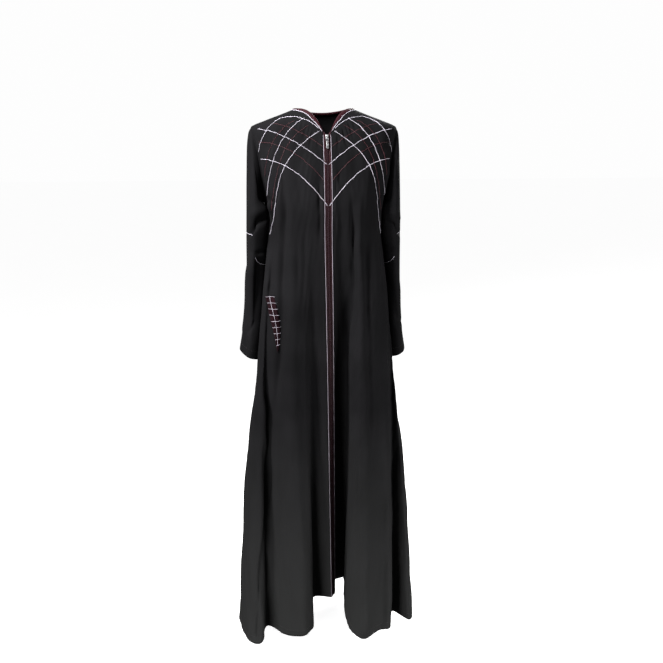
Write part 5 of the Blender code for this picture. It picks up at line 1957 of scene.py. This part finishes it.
bridge = block((-sides, -span, top_plate - BRIDGE_FOOT), (sides, span, roof + BRIDGE_THICK))
bevel_edges(bridge, across_top(roof + BRIDGE_THICK), BRIDGE_ROUND, 5)
hollow = block((-CUTTER_HALF, BRIDGE_THICK - span, top_plate), (CUTTER_HALF, span - BRIDGE_THICK, roof))
bevel_edges(hollow, across_top(roof), HOLLOW_ROUND, 4)
cut_out(bridge, hollow)
soften(bridge, BRIDGE_SOFT)
slider = finish_metal(join_as("zip_slider_body", [*plates, bridge]), slider_frame())
stands_for(slider, "silver_metal", "zip_slider")
print(slider.name, len(slider.data.polygons), "faces")

# %% Model the pull tab
TAB_LOWER_ROUND, TAB_UPPER_ROUND, EYE_ROUND, TAB_SOFT = 0.0022, 0.0010, 0.0009, 0.00016
DENT_SHARE, DENT_DEPTH, DENT_ROUND = 0.62, 0.00022, 0.0012
DENT_ENDS = (0.0028, 0.0026)  # from the tab's lower end, and from its eye

half, thick, bar = TAB_WIDTH / 2, TAB_THICK / 2, TAB_BAR / 2
tab = block((-half, -TAB_LENGTH, -thick), (half, bar, thick))
bevel_edges(tab, lambda a, b: max(a.y, b.y) < -TAB_LENGTH + ON_LEVEL and upright(a, b), TAB_LOWER_ROUND, 5)
bevel_edges(tab, lambda a, b: min(a.y, b.y) > bar - ON_LEVEL and upright(a, b), TAB_UPPER_ROUND, 3)
eye = block((-TAB_EYE_HALF, -TAB_EYE, -CUTTER_HALF), (TAB_EYE_HALF, -bar, CUTTER_HALF))
bevel_edges(eye, upright, EYE_ROUND, 3)
cut_out(tab, eye)
soften(tab, TAB_SOFT)
for face in (-thick, thick):
    dent = block(
        (-half * DENT_SHARE, -TAB_LENGTH + DENT_ENDS[0], face - DENT_DEPTH),
        (half * DENT_SHARE, -TAB_EYE - DENT_ENDS[1], face + DENT_DEPTH),
    )
    bevel_edges(dent, upright, DENT_ROUND, 4)
    cut_out(tab, dent)
hinge = slider_frame() @ Matrix.Translation((0, HINGE_UP, TRIM_LIFT + SLIDER_THICK + BRIDGE_HOLLOW / 2))
tab.name = "zip_pull_tab_plate"
finish_metal(tab, hinge)
stands_for(tab, "silver_metal", "zip_pull_tab", body="pull_tab")
print(tab.name, len(tab.data.polygons), "faces")

# %% [markdown]
# ## What each sheet was cut to
#
# Before it was worn, each sheet lay flat on the cutting table. The front panels and the back flare
# from the bust to the hem, and the sleeves are long tapered strips, sewn into tubes.

SHEETS = (
    # piece, width, length, area, what goes with it
    ("front_right", 0.56, 1.40, 0.552, "right"),
    ("front_left", 0.64, 1.40, 0.600, "left"),
    ("back", 1.10, 1.46, 1.020, "back"),
    ("sleeve_right", 0.34, 0.64, 0.176, "sleeve_right"),
    ("sleeve_left", 0.34, 0.64, 0.176, "sleeve_left"),
)
for name, width, length, area, owner in SHEETS:
    pieces = list(trims[owner])
    if name.startswith("front"):
        pieces.append(bands[1 if owner == "left" else -1])
    if name.startswith("sleeve"):
        pieces.append(armhole_seams[1 if name.endswith("left") else -1])
    print(name, "was cut from", area, "m2 and carries", len(pieces), "pieces")

# %% [markdown]
# ## Floor and light
#
# A bright seamless floor meets a bright background, so no horizon shows, and neither lights the
# black cloth much. The key light stands to the left and above and is aimed at the yoke. A low one
# from the left lights the hem, a fill from the right opens the folds' shaded sides, and two weak
# ones, above and behind, show the back.

# %% Floor
FLOOR_LEVEL = -1.50
FLOOR_GLOW = 0.775
FLOOR_DARK, FLOOR_LIGHT = (0.88, 0.88, 0.88), (0.92, 0.92, 0.92)
bpy.ops.object.select_all(action="DESELECT")
bpy.ops.mesh.primitive_plane_add(size=40, location=(0, 0, FLOOR_LEVEL))
floor = bpy.context.object
floor.name = "floor"
bpy.ops.object.transform_apply(location=True, rotation=True, scale=True)
floor_finish, floor_shader = new_material("pale_floor", 0.9)
floor_noise = noise(floor_finish, coordinates(floor_finish, "Object"), 3.0)
set_input(floor_finish, floor_shader, "Base Color", mixed(floor_finish, floor_noise, FLOOR_DARK, FLOOR_LIGHT))
floor_shader.inputs["Emission Color"].default_value = (1, 1, 1, 1)
floor_shader.inputs["Emission Strength"].default_value = FLOOR_GLOW
floor.data.materials.append(floor_finish)
floor.visible_diffuse = floor.visible_glossy = False  # it shows, and lights nothing

# %% Lights
AROUND = 0.22  # light from all round
BACKDROP = 0.985  # what the camera sees behind the garment
LIGHTS = (
    # name, place, aim, size, power in watts, spread in degrees
    ("key", (-1.9, -1.3, 1.45), (0, 0, -0.05), 0.6, 43, 60),
    ("fill", (2.4, -1.1, -0.9), (0, 0, -1.25), 1.2, 37, 100),
    ("low", (-1.1, -1.7, -1.3), (0, 0, -1.5), 0.7, 13, 80),
    ("top", (0.2, 0.9, 1.9), (0, 0, -0.5), 1.6, 34, 180),
    ("back", (1.3, 2.3, 0.5), (0, 0, -0.8), 1.2, 40, 120),
)
for name, place, aim, size, power, spread in LIGHTS:
    bpy.ops.object.light_add(type="AREA", location=place)
    light = bpy.context.object
    light.name = name + "_light"
    light.data.size = size
    light.data.energy = power
    light.data.spread = radians(spread)
    light.rotation_euler = (Vector(aim) - Vector(place)).to_track_quat("-Z", "Y").to_euler()
world = bpy.data.worlds.new("studio")
bpy.context.scene.world = world
world.use_nodes = True
background = world.node_tree.nodes["Background"]
seen = add_node(world, "ShaderNodeLightPath").outputs["Is Camera Ray"]
paper = mixed(world, seen, (AROUND, AROUND, AROUND), (BACKDROP, BACKDROP, BACKDROP))
world.node_tree.links.new(paper, background.inputs["Color"])
bpy.context.scene.view_settings.view_transform = "Standard"
